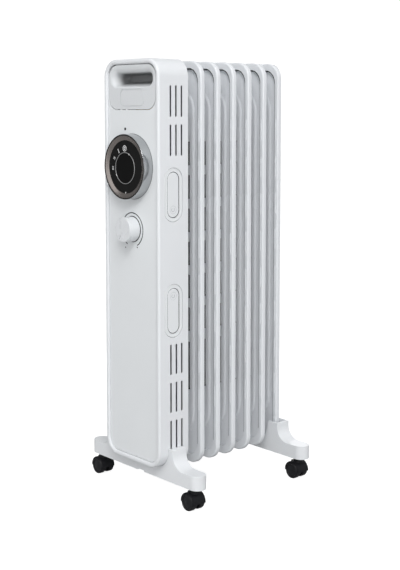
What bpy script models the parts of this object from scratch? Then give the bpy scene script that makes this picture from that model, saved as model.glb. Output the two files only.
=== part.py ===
"""Oil filled column radiator heater, built as an assembly of separate solids.

Metres, +Z up.  The floor is z = 0, the control face looks towards -Y, the
fins are stacked towards +Y and X is the width.  The origin is the middle of
the heater's footprint.  A "depth" below is a distance behind the front rim
of the control housing.
"""

import math

import bmesh
import bpy
from mathutils import Matrix, Vector

# ---------------------------------------------------------------- dimensions

GAP = 0.0003                    # clearance between neighbouring solids
FRONT_Y = -0.1159               # front rim of the control housing

HOUSING_HALF = 0.06265          # half width
HOUSING_Z = (0.0495, 0.6250)
HOUSING_DEPTH = 0.0533
HOUSING_CORNER = 0.0250
HOUSING_WALL = 0.0025
RIM_WIDTH = 0.0072              # raised frame around the front panel
RIM_THICKNESS = 0.0050
RIM_FILLET = 0.0030

PANEL_DEPTH = 0.0030            # the panel lies this far below the rim
PANEL_THICKNESS = 0.0020

BEZEL_HALF = 0.0530
BEZEL_Z = (0.5545, 0.6172)
BEZEL_CORNER = 0.0180
BEZEL_DEPTH = 0.0026
BEZEL_WALL = 0.0018
POCKET_MOUTH = (0.0505, 0.5842, 0.6152, 0.0150)     # half width, z, z, corner
POCKET_THROAT = (0.0430, 0.5872, 0.6058, 0.0090)
POCKET_BACK = (0.0365, 0.5925, 0.6040, 0.0050)
POCKET_FLARE = 0.0060
POCKET_DEPTH = 0.0270
BADGE_SIZE = (0.0530, 0.0230)
BADGE_Z = 0.5710

VENT_SIZE = (0.0030, 0.0430)
VENT_DEPTHS = (0.0212, 0.0311, 0.0410)
VENT_ROWS = (0.5660, 0.5123, 0.2054, 0.1512, 0.0970)

DIAL_Z = 0.4743
DIAL_RADIUS = 0.0460
DIAL_FACE_DEPTH = -0.0123
DIAL_DISC_RADIUS = 0.0373
DIAL_DISC_DEPTH = -0.0094
LAMP_PLACE = (-0.0160, 0.5270)  # x, z
LAMP_RADIUS = 0.0014

KNOB_Z = 0.3857
KNOB_RADIUS = 0.0177
KNOB_FACE_DEPTH = -0.0153
SHAFT_RADIUS = 0.0030

HOOK_DEPTH = 0.0260             # middle of both cord hooks
HOOK_CENTRES = (0.4366, 0.2742)
HOOK_TAB = (0.0212, 0.0640)     # opening that the tab fills, y and z
HOOK_PLATE = (0.0330, 0.0756)   # escutcheon around it
HOOK_THICKNESS = 0.0050
HOOK_PIVOT_FROM_END = 0.0112
HOOK_WELL_DEPTH = 0.0150
HOOK_PIN_RADIUS = 0.0015

FIN_COUNT = 7
FIN_PITCH = 0.0306
FIN_HALF = 0.0627
FIN_Z = (0.0417, 0.6230)
FIN_CORNER = 0.0230
FIN_DEPTH = 0.0075
FIN_FLANGE = (0.0074, 0.0110)   # side and top widths of the front flange
FIN_CHAMBER = (0.0440, 0.0790, 0.5860, 0.0340)      # half width, z, z, corner
INNER_FIN_HALF = 0.0597         # the first fin sits inside the housing
INNER_FIN_Z = (0.0526, 0.6219)
INNER_FIN_CORNER = 0.0220
OIL_CHANNEL = (0.0285, 0.0012)   # half width of the hollow, and wall at its ends
SLOT_X = 0.0330                 # air slots between the oil channels
SLOT_WIDTH = 0.0060
SLOT_PITCH = 0.0481
SLOT_LENGTH = 0.0345
SLOT_TOP = 0.5088
SLOT_SHORT_COUNT = 6
LONG_SLOT_Z = (0.1472, 0.2182)

GALLERY_Z = (0.1045, 0.5605)    # oil galleries joining the fins
GALLERY_RADIUS = 0.0180
GALLERY_BORE = 0.0155
GALLERY_DEPTHS = (0.0260, 0.2377)
ELEMENT_RADIUS = 0.0040
ELEMENT_SPREAD = 0.0070
SHIELD_DEPTH = 0.0440
SHIELD_THICKNESS = 0.0012

FOOT_HALF_LENGTH = 0.1232
FOOT_WIDTH = 0.0251
FOOT_Z = 0.0319
FOOT_ARM_TOP = 0.0522
FOOT_DEPTHS = (0.02785, 0.23455)    # middles of the front and rear feet
COLLAR_HALF = 0.0730
COLLAR_TOP = 0.0785
COLLAR_FILLET = 0.0200
SADDLE_TOP = 0.0450             # rear foot, either side of the fin
SOCKET_WALL = 0.0022
STUD_RADIUS = 0.0030
NUT_ACROSS = 0.0100
NUT_HEIGHT = 0.0050
NUT_Z = 0.0334

SWIVEL_X = 0.1057
CASTER_TRAIL = 0.0035
WHEEL_RADIUS = 0.0120
WHEEL_WIDTH = 0.0092
CASTER_WEB = 0.0052
AXLE_RADIUS = 0.00175

# ---------------------------------------------------------------- helpers


def clear_scene():
    for old in list(bpy.data.objects):
        bpy.data.objects.remove(old, do_unlink=True)


def make_collection(name):
    group = bpy.data.collections.new(name)
    bpy.context.scene.collection.children.link(group)
    return group


def material(name, colour, roughness, metallic=0.0):
    mat = bpy.data.materials.new(name)
    mat.use_nodes = True
    shader = mat.node_tree.nodes["Principled BSDF"]
    shader.inputs["Base Color"].default_value = (*colour, 1.0)
    shader.inputs["Roughness"].default_value = roughness
    shader.inputs["Metallic"].default_value = metallic
    return mat


def add(name, mesh, mat=None, location=(0, 0, 0), smooth=35):
    """Put a mesh into the heater's collection as one named sub-part."""
    mesh.name = name
    mesh.materials.clear()
    if mat:
        mesh.materials.append(mat)
    mesh.shade_smooth()
    mesh.set_sharp_from_angle(angle=math.radians(smooth))
    obj = bpy.data.objects.new(name, mesh)
    obj.location = location
    HEATER.objects.link(obj)
    return obj


def rounded(half, z0, z1, radius, steps=5):
    """Points of an upright rectangle with round corners, anticlockwise."""
    points = []
    corners = ((half, z0, -90), (half, z1, 0), (-half, z1, 90), (-half, z0, 180))
    for x, z, start in corners:
        cx = x - math.copysign(radius, x)
        cz = z + radius if z == z0 else z - radius
        for i in range(steps):
            a = math.radians(start + 90 * i / (steps - 1))
            points.append((cx + radius * math.cos(a), cz + radius * math.sin(a)))
    return points


def obround(width, height, centre=(0, 0), steps=6):
    cx, cz = centre
    points = rounded(width / 2, -height / 2, height / 2, width / 2 - 1e-5, steps)
    return [(x + cx, z + cz) for x, z in points]


def arc(cx, cz, radius, start, end, steps):
    angles = [math.radians(start + (end - start) * i / steps) for i in range(steps + 1)]
    return [(cx + radius * math.cos(a), cz + radius * math.sin(a)) for a in angles]


PLANES = {
    "XZ": Matrix(((1, 0, 0), (0, 0, -1), (0, 1, 0))).to_4x4(),
    "YZ": Matrix(((0, 0, 1), (1, 0, 0), (0, 1, 0))).to_4x4(),
    "XY": Matrix.Identity(4),
}


def plate_mesh(loops, near, far, plane="XZ"):
    """A flat outline, with any holes after the first loop, as a solid between
    the places near and far along the plane's normal axis."""
    data = bpy.data.curves.new("outline", "CURVE")
    data.dimensions = "2D"
    data.fill_mode = "BOTH"
    data.extrude = abs(far - near) / 2
    for loop in loops:
        spline = data.splines.new("POLY")
        spline.points.add(len(loop) - 1)
        for point, (u, v) in zip(spline.points, loop):
            point.co = (u, v, 0, 1)
        spline.use_cyclic_u = True
    curve = bpy.data.objects.new("outline", data)
    bpy.context.scene.collection.objects.link(curve)
    depsgraph = bpy.context.evaluated_depsgraph_get()
    mesh = bpy.data.meshes.new_from_object(curve.evaluated_get(depsgraph))
    bpy.data.objects.remove(curve)
    bpy.data.curves.remove(data)
    weld(mesh)
    middle = {"XZ": (0, 1, 0), "YZ": (1, 0, 0), "XY": (0, 0, 1)}[plane]
    mesh.transform(PLANES[plane])
    mesh.transform(Matrix.Translation(Vector(middle) * (near + far) / 2))
    return mesh


def weld(mesh, distance=1e-6):
    work = bmesh.new()
    work.from_mesh(mesh)
    bmesh.ops.remove_doubles(work, verts=work.verts, dist=distance)
    bmesh.ops.recalc_face_normals(work, faces=work.faces)
    work.to_mesh(mesh)
    work.free()


def box_mesh(size, centre):
    work = bmesh.new()
    place = Matrix.Translation(centre) @ Matrix.Diagonal((*size, 1))
    bmesh.ops.create_cube(work, size=1, matrix=place)
    return to_mesh(work)


def cylinder_mesh(radius, near, far, centre, axis="Y", segments=24, turn=0.0):
    """A cylinder between two places along an axis; centre gives the others."""
    turns = {
        "X": Matrix.Rotation(math.pi / 2, 4, "Y"),
        "Y": Matrix.Rotation(-math.pi / 2, 4, "X"),
        "Z": Matrix.Identity(4),
    }
    middle = Vector(centre)
    middle["XYZ".index(axis)] = (near + far) / 2
    work = bmesh.new()
    place = Matrix.Translation(middle) @ turns[axis] @ Matrix.Rotation(turn, 4, "Z")
    bmesh.ops.create_cone(work, cap_ends=True, segments=segments, radius1=radius,
                          radius2=radius, depth=far - near, matrix=place)
    return to_mesh(work)


def to_mesh(work):
    mesh = bpy.data.meshes.new("solid")
    work.to_mesh(mesh)
    work.free()
    return mesh


def turned_mesh(profile, steps=28, closed=False):
    """A profile of (radius, depth) pairs turned about the Y axis."""
    mesh = bpy.data.meshes.new("profile")
    points = [(r, 0, -d) for r, d in profile]
    edges = [(i, i + 1) for i in range(len(points) - 1)]
    if closed:
        edges.append((len(points) - 1, 0))
    mesh.from_pydata(points, edges, [])
    obj = bpy.data.objects.new("profile", mesh)
    bpy.context.scene.collection.objects.link(obj)
    screw = obj.modifiers.new("turn", "SCREW")
    screw.axis = "Z"
    screw.steps = steps
    screw.render_steps = steps
    screw.use_merge_vertices = True
    screw.merge_threshold = 1e-5
    depsgraph = bpy.context.evaluated_depsgraph_get()
    solid = bpy.data.meshes.new_from_object(obj.evaluated_get(depsgraph))
    bpy.data.objects.remove(obj)
    bpy.data.meshes.remove(mesh)
    weld(solid)
    solid.transform(Matrix.Rotation(math.pi / 2, 4, "X"))
    return solid


def bevel_edges(mesh, wanted, width, segments=2):
    """Round the sharp edges for which wanted(first point, second point) is true."""
    work = bmesh.new()
    work.from_mesh(mesh)
    edges = [e for e in work.edges if e.calc_face_angle(0) > 0.3
             and wanted(e.verts[0].co, e.verts[1].co)]
    bmesh.ops.bevel(work, geom=edges, offset=width, segments=segments,
                    profile=0.5, affect="EDGES", clamp_overlap=True)
    bmesh.ops.remove_doubles(work, verts=work.verts, dist=1e-6)
    work.to_mesh(mesh)
    work.free()


def joined(meshes):
    """Several loose solids in one mesh, for use as one cutter."""
    work = bmesh.new()
    for mesh in meshes:
        work.from_mesh(mesh)
        bpy.data.meshes.remove(mesh)
    return to_mesh(work)


def shape(base, steps):
    """Apply Boolean steps, pairs of an operation and a mesh, to a base mesh."""
    obj = bpy.data.objects.new("work", base)
    CUTTERS.objects.link(obj)
    tools = []
    for operation, mesh in steps:
        tool = bpy.data.objects.new("cutter", mesh)
        tool.hide_render = True
        tool.display_type = "WIRE"
        CUTTERS.objects.link(tool)
        modifier = obj.modifiers.new(operation.lower(), "BOOLEAN")
        modifier.operation = operation
        modifier.solver = "EXACT"
        modifier.object = tool
        tools.append(tool)
    depsgraph = bpy.context.evaluated_depsgraph_get()
    result = bpy.data.meshes.new_from_object(obj.evaluated_get(depsgraph))
    weld(result)
    for item in (obj, *tools):
        bpy.data.objects.remove(item)
    return result


def loft(name, loops, open_start=False):
    """A skin over loops of 3-D points, capped at its ends."""
    work = bmesh.new()
    rows = [[work.verts.new(p) for p in loop] for loop in loops]
    for one, two in zip(rows, rows[1:]):
        count = len(one)
        for i in range(count):
            j = (i + 1) % count
            work.faces.new((one[i], one[j], two[j], two[i]))
    if not open_start:
        work.faces.new(list(reversed(rows[0])))
    work.faces.new(rows[-1])
    bmesh.ops.recalc_face_normals(work, faces=work.faces)
    mesh = to_mesh(work)
    mesh.name = name
    return mesh


def at(depth):
    """World y of a depth behind the housing's front rim."""
    return FRONT_Y + depth


def moving(name, place):
    """An empty on a joint's axis, which the moving pieces are parented to."""
    pivot = bpy.data.objects.new(name, None)
    pivot.location = place
    HEATER.objects.link(pivot)
    return pivot


def hang(child, parent):
    """Parent a piece without moving it."""
    child.parent = parent
    child.location = Vector(child.location) - Vector(parent.location)
    return child


def about(mesh, place):
    """Shift a mesh so that place becomes its own origin."""
    mesh.transform(Matrix.Translation(-Vector(place)))
    return mesh


# ---------------------------------------------------------------- housing


def control_housing():
    front, back = at(0), at(HOUSING_DEPTH)
    z0, z1 = HOUSING_Z
    outer = rounded(HOUSING_HALF, z0, z1, HOUSING_CORNER, 6)
    window = rounded(HOUSING_HALF - RIM_WIDTH, z0 + RIM_WIDTH, z1 - RIM_WIDTH,
                     HOUSING_CORNER - RIM_WIDTH, 6)
    body = plate_mesh([outer, window], front, back)

    def on_front_outline(point):
        inner = (HOUSING_HALF - RIM_WIDTH / 2, z0 + RIM_WIDTH / 2, z1 - RIM_WIDTH / 2)
        corner = HOUSING_CORNER - RIM_WIDTH / 2
        x, z = abs(point.x), min(point.z - inner[1], inner[2] - point.z)
        over = math.hypot(max(0, x - inner[0] + corner), max(0, corner - z))
        return abs(point.y - front) < 1e-5 and over > corner

    def front_outer(a, b):
        return on_front_outline(a) and on_front_outline(b)

    bevel_edges(body, front_outer, RIM_FILLET, 2)
    wall = HOUSING_WALL
    cavity = plate_mesh([rounded(HOUSING_HALF - wall, z0 + wall, z1 - wall,
                                 HOUSING_CORNER - wall, 6)],
                        at(RIM_THICKNESS), back + 0.01)
    vents = []
    for z in VENT_ROWS:
        for depth in VENT_DEPTHS:
            size = (2 * HOUSING_HALF + 0.01, *VENT_SIZE)
            vents.append(box_mesh(size, (0, at(depth), z)))
    plates = []
    for z in HOOK_CENTRES:
        outline = obround(HOOK_PLATE[0], HOOK_PLATE[1], (at(HOOK_DEPTH), z))
        plates.append(plate_mesh([outline], HOUSING_HALF - 0.006,
                                 HOUSING_HALF + 0.006, "YZ"))
    holes = [
        cylinder_mesh(STUD_RADIUS + 0.001, z0 - 0.005, z0 + 0.006,
                      (0, at(FOOT_DEPTHS[0]), 0), "Z", 16),
        cylinder_mesh(INLET_RADIUS + GAP, -HOUSING_HALF - 0.005,
                      -HOUSING_HALF + 0.006, (0, at(INLET_DEPTH), INLET_Z), "X", 16),
    ]
    mesh = shape(body, [("DIFFERENCE", cavity), ("DIFFERENCE", joined(vents)),
                        ("DIFFERENCE", joined(plates)), ("DIFFERENCE", joined(holes))])
    return add("control_housing", mesh, WHITE_PLASTIC)


INLET_RADIUS = 0.0065
INLET_DEPTH = 0.0260
INLET_Z = 0.3000


def front_panel():
    z0, z1 = HOUSING_Z
    inset = RIM_WIDTH + GAP
    outline = rounded(HOUSING_HALF - inset, z0 + inset, z1 - inset,
                      HOUSING_CORNER - inset, 6)
    near, far = at(PANEL_DEPTH), at(PANEL_DEPTH + PANEL_THICKNESS)
    body = plate_mesh([outline], near, far)
    window = rounded(BEZEL_HALF + GAP, BEZEL_Z[0] - GAP, BEZEL_Z[1] + 0.03,
                     BEZEL_CORNER, 6)
    cut = plate_mesh([window], near - 0.005, far + 0.005)
    holes = []
    for radius, x, z in ((SHAFT_RADIUS + 0.0006, 0, DIAL_Z),
                         (SHAFT_RADIUS + 0.0006, 0, KNOB_Z),
                         (LAMP_RADIUS + GAP, *LAMP_PLACE)):
        holes.append(cylinder_mesh(radius, near - 0.002, far + 0.002, (x, 0, z), "Y", 16))
    mesh = shape(body, [("DIFFERENCE", cut), ("DIFFERENCE", joined(holes))])
    return add("front_panel", mesh, WHITE_PLASTIC)


def loop_at(half, z0, z1, radius, depth, steps=5):
    return [(x, at(depth), z) for x, z in rounded(half, z0, z1, radius, steps)]


def handle_bezel():
    """Bezel with the finger pocket pressed into it."""
    front = BEZEL_DEPTH
    loops = [loop_at(BEZEL_HALF, *BEZEL_Z, BEZEL_CORNER, front + BEZEL_WALL),
             loop_at(BEZEL_HALF, *BEZEL_Z, BEZEL_CORNER, front)]
    for i in range(4):
        turn = math.radians(30 * i)
        share = math.sin(turn)
        drop = POCKET_FLARE * (1 - math.cos(turn))
        size = [m + (t - m) * share for m, t in zip(POCKET_MOUTH, POCKET_THROAT)]
        loops.append(loop_at(*size, front + drop))
    loops.append(loop_at(*POCKET_BACK, POCKET_DEPTH))
    mesh = loft("bezel", loops[1:], open_start=True)
    obj = bpy.data.objects.new("bezel", mesh)
    CUTTERS.objects.link(obj)
    solid = obj.modifiers.new("wall", "SOLIDIFY")
    solid.thickness = BEZEL_WALL
    solid.offset = -1 if mesh.polygons[0].normal.y < 0 else 1
    solid.use_even_offset = True
    depsgraph = bpy.context.evaluated_depsgraph_get()
    shell = bpy.data.meshes.new_from_object(obj.evaluated_get(depsgraph))
    bpy.data.objects.remove(obj)
    weld(shell)
    hollow = rounded(BADGE_SIZE[0] / 2 + GAP, BADGE_Z - BADGE_SIZE[1] / 2 - GAP,
                     BADGE_Z + BADGE_SIZE[1] / 2 + GAP, 0.008 + GAP)
    seat = plate_mesh([hollow], at(front) - 0.002, at(front) + 0.0010)
    mesh = shape(shell, [("DIFFERENCE", seat)])
    return add("handle_bezel", mesh, WHITE_PLASTIC)


def badge_plate():
    outline = rounded(BADGE_SIZE[0] / 2, BADGE_Z - BADGE_SIZE[1] / 2,
                      BADGE_Z + BADGE_SIZE[1] / 2, 0.008)
    mesh = plate_mesh([outline], at(BEZEL_DEPTH), at(BEZEL_DEPTH) + 0.0010 - GAP)
    return add("badge_plate", mesh, WHITE_PLASTIC)


def pilot_lamp():
    x, z = LAMP_PLACE
    profile = [(0, PANEL_DEPTH - 0.0005), (LAMP_RADIUS * 0.7, PANEL_DEPTH - 0.0004),
               (LAMP_RADIUS, PANEL_DEPTH), (LAMP_RADIUS, 0.0120), (0, 0.0120)]
    mesh = turned_mesh(profile, 14)
    return add("pilot_lamp", mesh, BLACK_PLASTIC, (x, FRONT_Y, z))


def inlet_bush():
    """Flanged bush where the supply cord would enter."""
    wall = HOUSING_WALL
    bore = INLET_RADIUS - 0.0025
    profile = [(bore, -0.0040), (INLET_RADIUS - 0.0010, -0.0040),
               (INLET_RADIUS + 0.0020, -0.0012), (INLET_RADIUS + 0.0020, -GAP),
               (INLET_RADIUS, -GAP), (INLET_RADIUS, wall + 0.004), (bore, wall + 0.004)]
    mesh = turned_mesh(profile, 16, closed=True)
    mesh.transform(Matrix.Rotation(-math.pi / 2, 4, "Z"))
    return add("cord_inlet_bush", mesh, BLACK_PLASTIC, (-HOUSING_HALF, at(INLET_DEPTH), INLET_Z))


def heat_shield():
    """Sheet between the controls and the first fin, with air slots."""
    inset = HOUSING_WALL + GAP + 0.0002
    z0, z1 = HOUSING_Z
    outline = rounded(HOUSING_HALF - inset, z0 + inset, z1 - inset,
                      HOUSING_CORNER - inset, 5)
    near, far = at(SHIELD_DEPTH), at(SHIELD_DEPTH + SHIELD_THICKNESS)
    body = plate_mesh([outline], near, far)
    holes = [cylinder_mesh(GALLERY_RADIUS + 0.0004, near - 0.005, far + 0.005,
                           (0, 0, z), "Y", 20) for z in GALLERY_Z]
    for z in (0.18, 0.25, 0.32, 0.39, 0.46):
        holes.append(box_mesh((0.060, 0.01, 0.006), (0, near, z)))
    mesh = shape(body, [("DIFFERENCE", joined(holes))])
    return add("heat_shield", mesh, STEEL)


# ---------------------------------------------------------------- controls


def power_dial():
    pivot = moving("power_dial_axis", (0, FRONT_Y, DIAL_Z))
    face, disc = DIAL_FACE_DEPTH, DIAL_DISC_DEPTH
    back = PANEL_DEPTH - GAP
    lip = DIAL_DISC_RADIUS + GAP
    rebate = DIAL_RADIUS - 0.0034
    ring = [(lip, disc - 0.0002), (DIAL_RADIUS - 0.0012, face), (DIAL_RADIUS - 0.0006, face),
            (DIAL_RADIUS, face + 0.0010), (DIAL_RADIUS, back), (rebate, back),
            (rebate, disc + 0.0046), (lip, disc + 0.0046)]
    mesh = turned_mesh(ring, 32, closed=True)
    hang(add("dial_ring", mesh, GUNMETAL, (0, FRONT_Y, DIAL_Z)), pivot)

    bore = SHAFT_RADIUS + GAP
    edge = rebate - GAP
    plate = [(0, disc), (DIAL_DISC_RADIUS, disc), (DIAL_DISC_RADIUS, disc + 0.0049),
             (edge, disc + 0.0049), (edge, disc + 0.0070), (0.0070, disc + 0.0070),
             (0.0070, back - 0.0003), (bore, back - 0.0003), (bore, disc + 0.0030),
             (0, disc + 0.0030)]
    mesh = turned_mesh(plate, 32)
    hang(add("dial_disc", mesh, BLACK_PLASTIC, (0, FRONT_Y, DIAL_Z)), pivot)

    mesh = cylinder_mesh(SHAFT_RADIUS, disc + 0.0033, CONTROL_DEPTH - GAP, (0, 0, 0), "Y", 12)
    hang(add("dial_shaft", mesh, STEEL, (0, FRONT_Y, DIAL_Z)), pivot)


CONTROL_DEPTH = 0.0110          # front of the switch and thermostat bodies
BUSH_RADIUS = 0.0070


def control_body(name, size, z, mat):
    """Switch or thermostat block with a threaded bush that grips the panel."""
    width, depth, height = size
    front = at(CONTROL_DEPTH)
    block = box_mesh(size, (0, front + depth / 2, z))
    bush_front = at(PANEL_DEPTH + PANEL_THICKNESS + GAP)
    bush = cylinder_mesh(BUSH_RADIUS, bush_front, front + 0.002, (0, 0, z), "Y", 16)
    bore = cylinder_mesh(SHAFT_RADIUS + GAP, bush_front - 0.002, front, (0, 0, z), "Y", 12)
    mesh = shape(block, [("UNION", bush), ("DIFFERENCE", bore)])
    return add(name, mesh, mat)


def thermostat_knob():
    pivot = moving("thermostat_knob_axis", (0, FRONT_Y, KNOB_Z))
    face = KNOB_FACE_DEPTH
    back = PANEL_DEPTH - GAP
    bore = SHAFT_RADIUS + GAP
    fillet = 0.0016
    profile = [(0, face), (KNOB_RADIUS - fillet, face),
               (KNOB_RADIUS - fillet * 0.3, face + fillet * 0.3),
               (KNOB_RADIUS, face + fillet), (KNOB_RADIUS, back),
               (bore, back), (bore, face + 0.0050), (0, face + 0.0050)]
    mesh = turned_mesh(profile, 28)
    hang(add("thermostat_knob", mesh, WHITE_PLASTIC, (0, FRONT_Y, KNOB_Z)), pivot)
    mesh = cylinder_mesh(SHAFT_RADIUS, face + 0.0053, CONTROL_DEPTH - GAP, (0, 0, 0), "Y", 12)
    hang(add("thermostat_shaft", mesh, STEEL, (0, FRONT_Y, KNOB_Z)), pivot)


def cord_hook(name, centre_z, up):
    """Flip-out hook: escutcheon with its well, tab and hinge pin."""
    y = at(HOOK_DEPTH)
    side = HOUSING_HALF
    pivot_z = centre_z - up * (HOOK_TAB[1] / 2 - HOOK_PIVOT_FROM_END)
    pivot_x = side - HOOK_THICKNESS / 2
    wall = 0.0020

    plate = plate_mesh([obround(HOOK_PLATE[0] - 2 * GAP, HOOK_PLATE[1] - 2 * GAP, (y, centre_z))],
                       side - 0.0022, side, "YZ")
    cup = plate_mesh([obround(HOOK_TAB[0] + 2 * wall, HOOK_TAB[1] + 2 * wall, (y, centre_z))],
                     side - HOOK_WELL_DEPTH - wall, side - 0.0010, "YZ")
    hollow = plate_mesh([obround(*HOOK_TAB, (y, centre_z))],
                        side - HOOK_WELL_DEPTH, side + 0.005, "YZ")
    pin_hole = cylinder_mesh(HOOK_PIN_RADIUS + GAP, y - 0.0122, y + 0.0122,
                             (pivot_x, 0, pivot_z), "Y", 10)
    mesh = shape(plate, [("UNION", cup), ("DIFFERENCE", hollow), ("DIFFERENCE", pin_hole)])
    add(f"{name}_well", mesh, WHITE_PLASTIC)

    pin = cylinder_mesh(HOOK_PIN_RADIUS, -0.0119, 0.0119, (0, 0, 0), "Y", 10)
    add(f"{name}_pin", pin, STEEL, (pivot_x, y, pivot_z))

    pivot = moving(f"{name}_axis", (pivot_x, y, pivot_z))
    outline = obround(HOOK_TAB[0] - 2 * GAP, HOOK_TAB[1] - 2 * GAP, (y, centre_z))
    tab = plate_mesh([outline], side - HOOK_THICKNESS, side, "YZ")
    bevel_edges(tab, lambda a, b: abs(a.x - b.x) < 1e-6, 0.0010, 1)
    bore = cylinder_mesh(HOOK_PIN_RADIUS + GAP, y - 0.02, y + 0.02,
                         (pivot_x, 0, pivot_z), "Y", 10)
    mesh = about(shape(tab, [("DIFFERENCE", bore)]), pivot.location)
    hang(add(name, mesh, WHITE_PLASTIC, pivot.location), pivot)


# ---------------------------------------------------------------- radiator


def fin_mesh(half, z0, z1, corner, hole_end=0.02):
    """One pressed fin: boxed rim, sunken web and raised hollow oil chamber.

    Depths are measured from the rear edge of the rim, forwards negative.
    The gallery holes stop at hole_end, which leaves the last fin's back whole."""
    side, top = FIN_FLANGE
    chamber_half, chamber_z0, chamber_z1, chamber_corner = FIN_CHAMBER
    inner = (half - side, z0 + top, z1 - top, corner - 0.003)
    web_front, web_rear = -0.0030, -0.0012

    def outer(inset):
        return (half - inset, z0 + inset, z1 - inset, corner - inset)

    def chamber(inset):
        return (chamber_half - inset, chamber_z0 + inset, chamber_z1 - inset,
                chamber_corner - inset)

    sections = [
        (chamber(0.004), 0.0025), (chamber(0.0), web_rear), (inner, web_rear),
        (inner, 0.0), (outer(0.0), 0.0), (outer(0.0), -0.0045),
        (outer(0.0012), -0.0068), (outer(0.0030), -FIN_DEPTH), (inner, -FIN_DEPTH),
        (inner, web_front), (chamber(0.0), web_front), (chamber(0.004), -0.0062),
    ]
    loops = [[(x, y, z) for x, z in rounded(*size, 5)] for size, y in sections]
    body = loft("fin", loops)
    wall = 0.0010
    half_oil, lift = OIL_CHANNEL
    oil = [(half_oil - inset, chamber_z0 + lift + inset, chamber_z1 - lift - inset,
            half_oil - inset - 0.004) for inset in (0.0038, 0.0)]
    hollow = [(oil[0], 0.0025 - wall), (oil[1], web_rear - wall / 2),
              (oil[1], web_front + wall / 2), (oil[0], -0.0062 + wall)]
    hollow = loft("oil", [[(x, y, z) for x, z in rounded(*size, 5)] for size, y in hollow])
    holes = [cylinder_mesh(GALLERY_RADIUS + GAP, -0.02, hole_end, (0, 0, z), "Y", 20)
             for z in GALLERY_Z]
    cuts = []
    for sign in (-1, 1):
        x = sign * SLOT_X
        for i in range(SLOT_SHORT_COUNT):
            middle = SLOT_TOP - SLOT_LENGTH / 2 - i * SLOT_PITCH
            cuts.append(box_mesh((SLOT_WIDTH, 0.03, SLOT_LENGTH), (x, 0, middle)))
        low, high = LONG_SLOT_Z
        cuts.append(box_mesh((SLOT_WIDTH, 0.03, high - low), (x, 0, (low + high) / 2)))
    return shape(body, [("DIFFERENCE", hollow), ("DIFFERENCE", joined(holes)),
                        ("DIFFERENCE", joined(cuts))])


def fins():
    inner = fin_mesh(INNER_FIN_HALF, *INNER_FIN_Z, INNER_FIN_CORNER)
    add("fin_1", inner, WHITE_STEEL, (0, at(HOUSING_DEPTH) - GAP, 0))
    common = fin_mesh(FIN_HALF, *FIN_Z, FIN_CORNER)
    last = fin_mesh(FIN_HALF, *FIN_Z, FIN_CORNER, hole_end=0.0012)
    for number in range(2, FIN_COUNT + 1):
        depth = HOUSING_DEPTH + (number - 1) * FIN_PITCH
        mesh = last if number == FIN_COUNT else common.copy()
        add(f"fin_{number}", mesh, WHITE_STEEL, (0, at(depth), 0))


def galleries():
    """Top and bottom oil galleries, closed at the back, open at the front."""
    start, end = GALLERY_DEPTHS
    profile = [(0, end - 0.003), (GALLERY_BORE, end - 0.003), (GALLERY_BORE, start),
               (GALLERY_RADIUS, start), (GALLERY_RADIUS, end), (0, end)]
    for name, z in zip(("bottom_gallery", "top_gallery"), GALLERY_Z):
        add(name, turned_mesh(profile, 20), WHITE_STEEL, (0, FRONT_Y, z))


def gallery_fittings():
    start = GALLERY_DEPTHS[0]
    seat = GALLERY_BORE - GAP
    plug = [(0, start - 0.0050), (0.0080, start - 0.0050), (0.0080, start - 0.0030),
            (GALLERY_RADIUS, start - 0.0030), (GALLERY_RADIUS, start - GAP),
            (seat, start - GAP), (seat, start + 0.0080), (0, start + 0.0080)]
    add("oil_filler_plug", turned_mesh(plug, 16), BRASS, (0, FRONT_Y, GALLERY_Z[1]))

    z = GALLERY_Z[0]
    flange = [(0, start - 0.0050), (GALLERY_RADIUS, start - 0.0050),
              (GALLERY_RADIUS, start - GAP), (seat, start - GAP),
              (seat, start + 0.0080), (0, start + 0.0080)]
    body = turned_mesh(flange, 20)
    holes = [cylinder_mesh(ELEMENT_RADIUS + GAP, start - 0.01, start + 0.02,
                           (sign * ELEMENT_SPREAD, 0, 0), "Y", 12) for sign in (-1, 1)]
    mesh = shape(body, [("DIFFERENCE", joined(holes))])
    add("element_flange", mesh, BRASS, (0, FRONT_Y, z))

    ends = (start - 0.0120, 0.2050)
    route = [(ELEMENT_SPREAD, ends[0]), (ELEMENT_SPREAD, ends[1] * 0.5)]
    route += [(ELEMENT_SPREAD * math.cos(a), ends[1] + ELEMENT_SPREAD * math.sin(a))
              for a in (math.pi * i / 8 for i in range(9))]
    route += [(-ELEMENT_SPREAD, ends[1] * 0.5), (-ELEMENT_SPREAD, ends[0])]
    points = [(x, at(depth), z) for x, depth in route]
    add("heating_element", tube_mesh(points, ELEMENT_RADIUS), STEEL)


def tube_mesh(points, radius, resolution=2):
    """A bent rod along points, with closed ends."""
    data = bpy.data.curves.new("rod", "CURVE")
    data.dimensions = "3D"
    data.bevel_depth = radius
    data.bevel_resolution = resolution
    data.use_fill_caps = True
    spline = data.splines.new("POLY")
    spline.points.add(len(points) - 1)
    for point, place in zip(spline.points, points):
        point.co = (*place, 1)
    curve = bpy.data.objects.new("rod", data)
    bpy.context.scene.collection.objects.link(curve)
    depsgraph = bpy.context.evaluated_depsgraph_get()
    mesh = bpy.data.meshes.new_from_object(curve.evaluated_get(depsgraph))
    bpy.data.objects.remove(curve)
    bpy.data.curves.remove(data)
    weld(mesh)
    return mesh


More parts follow.
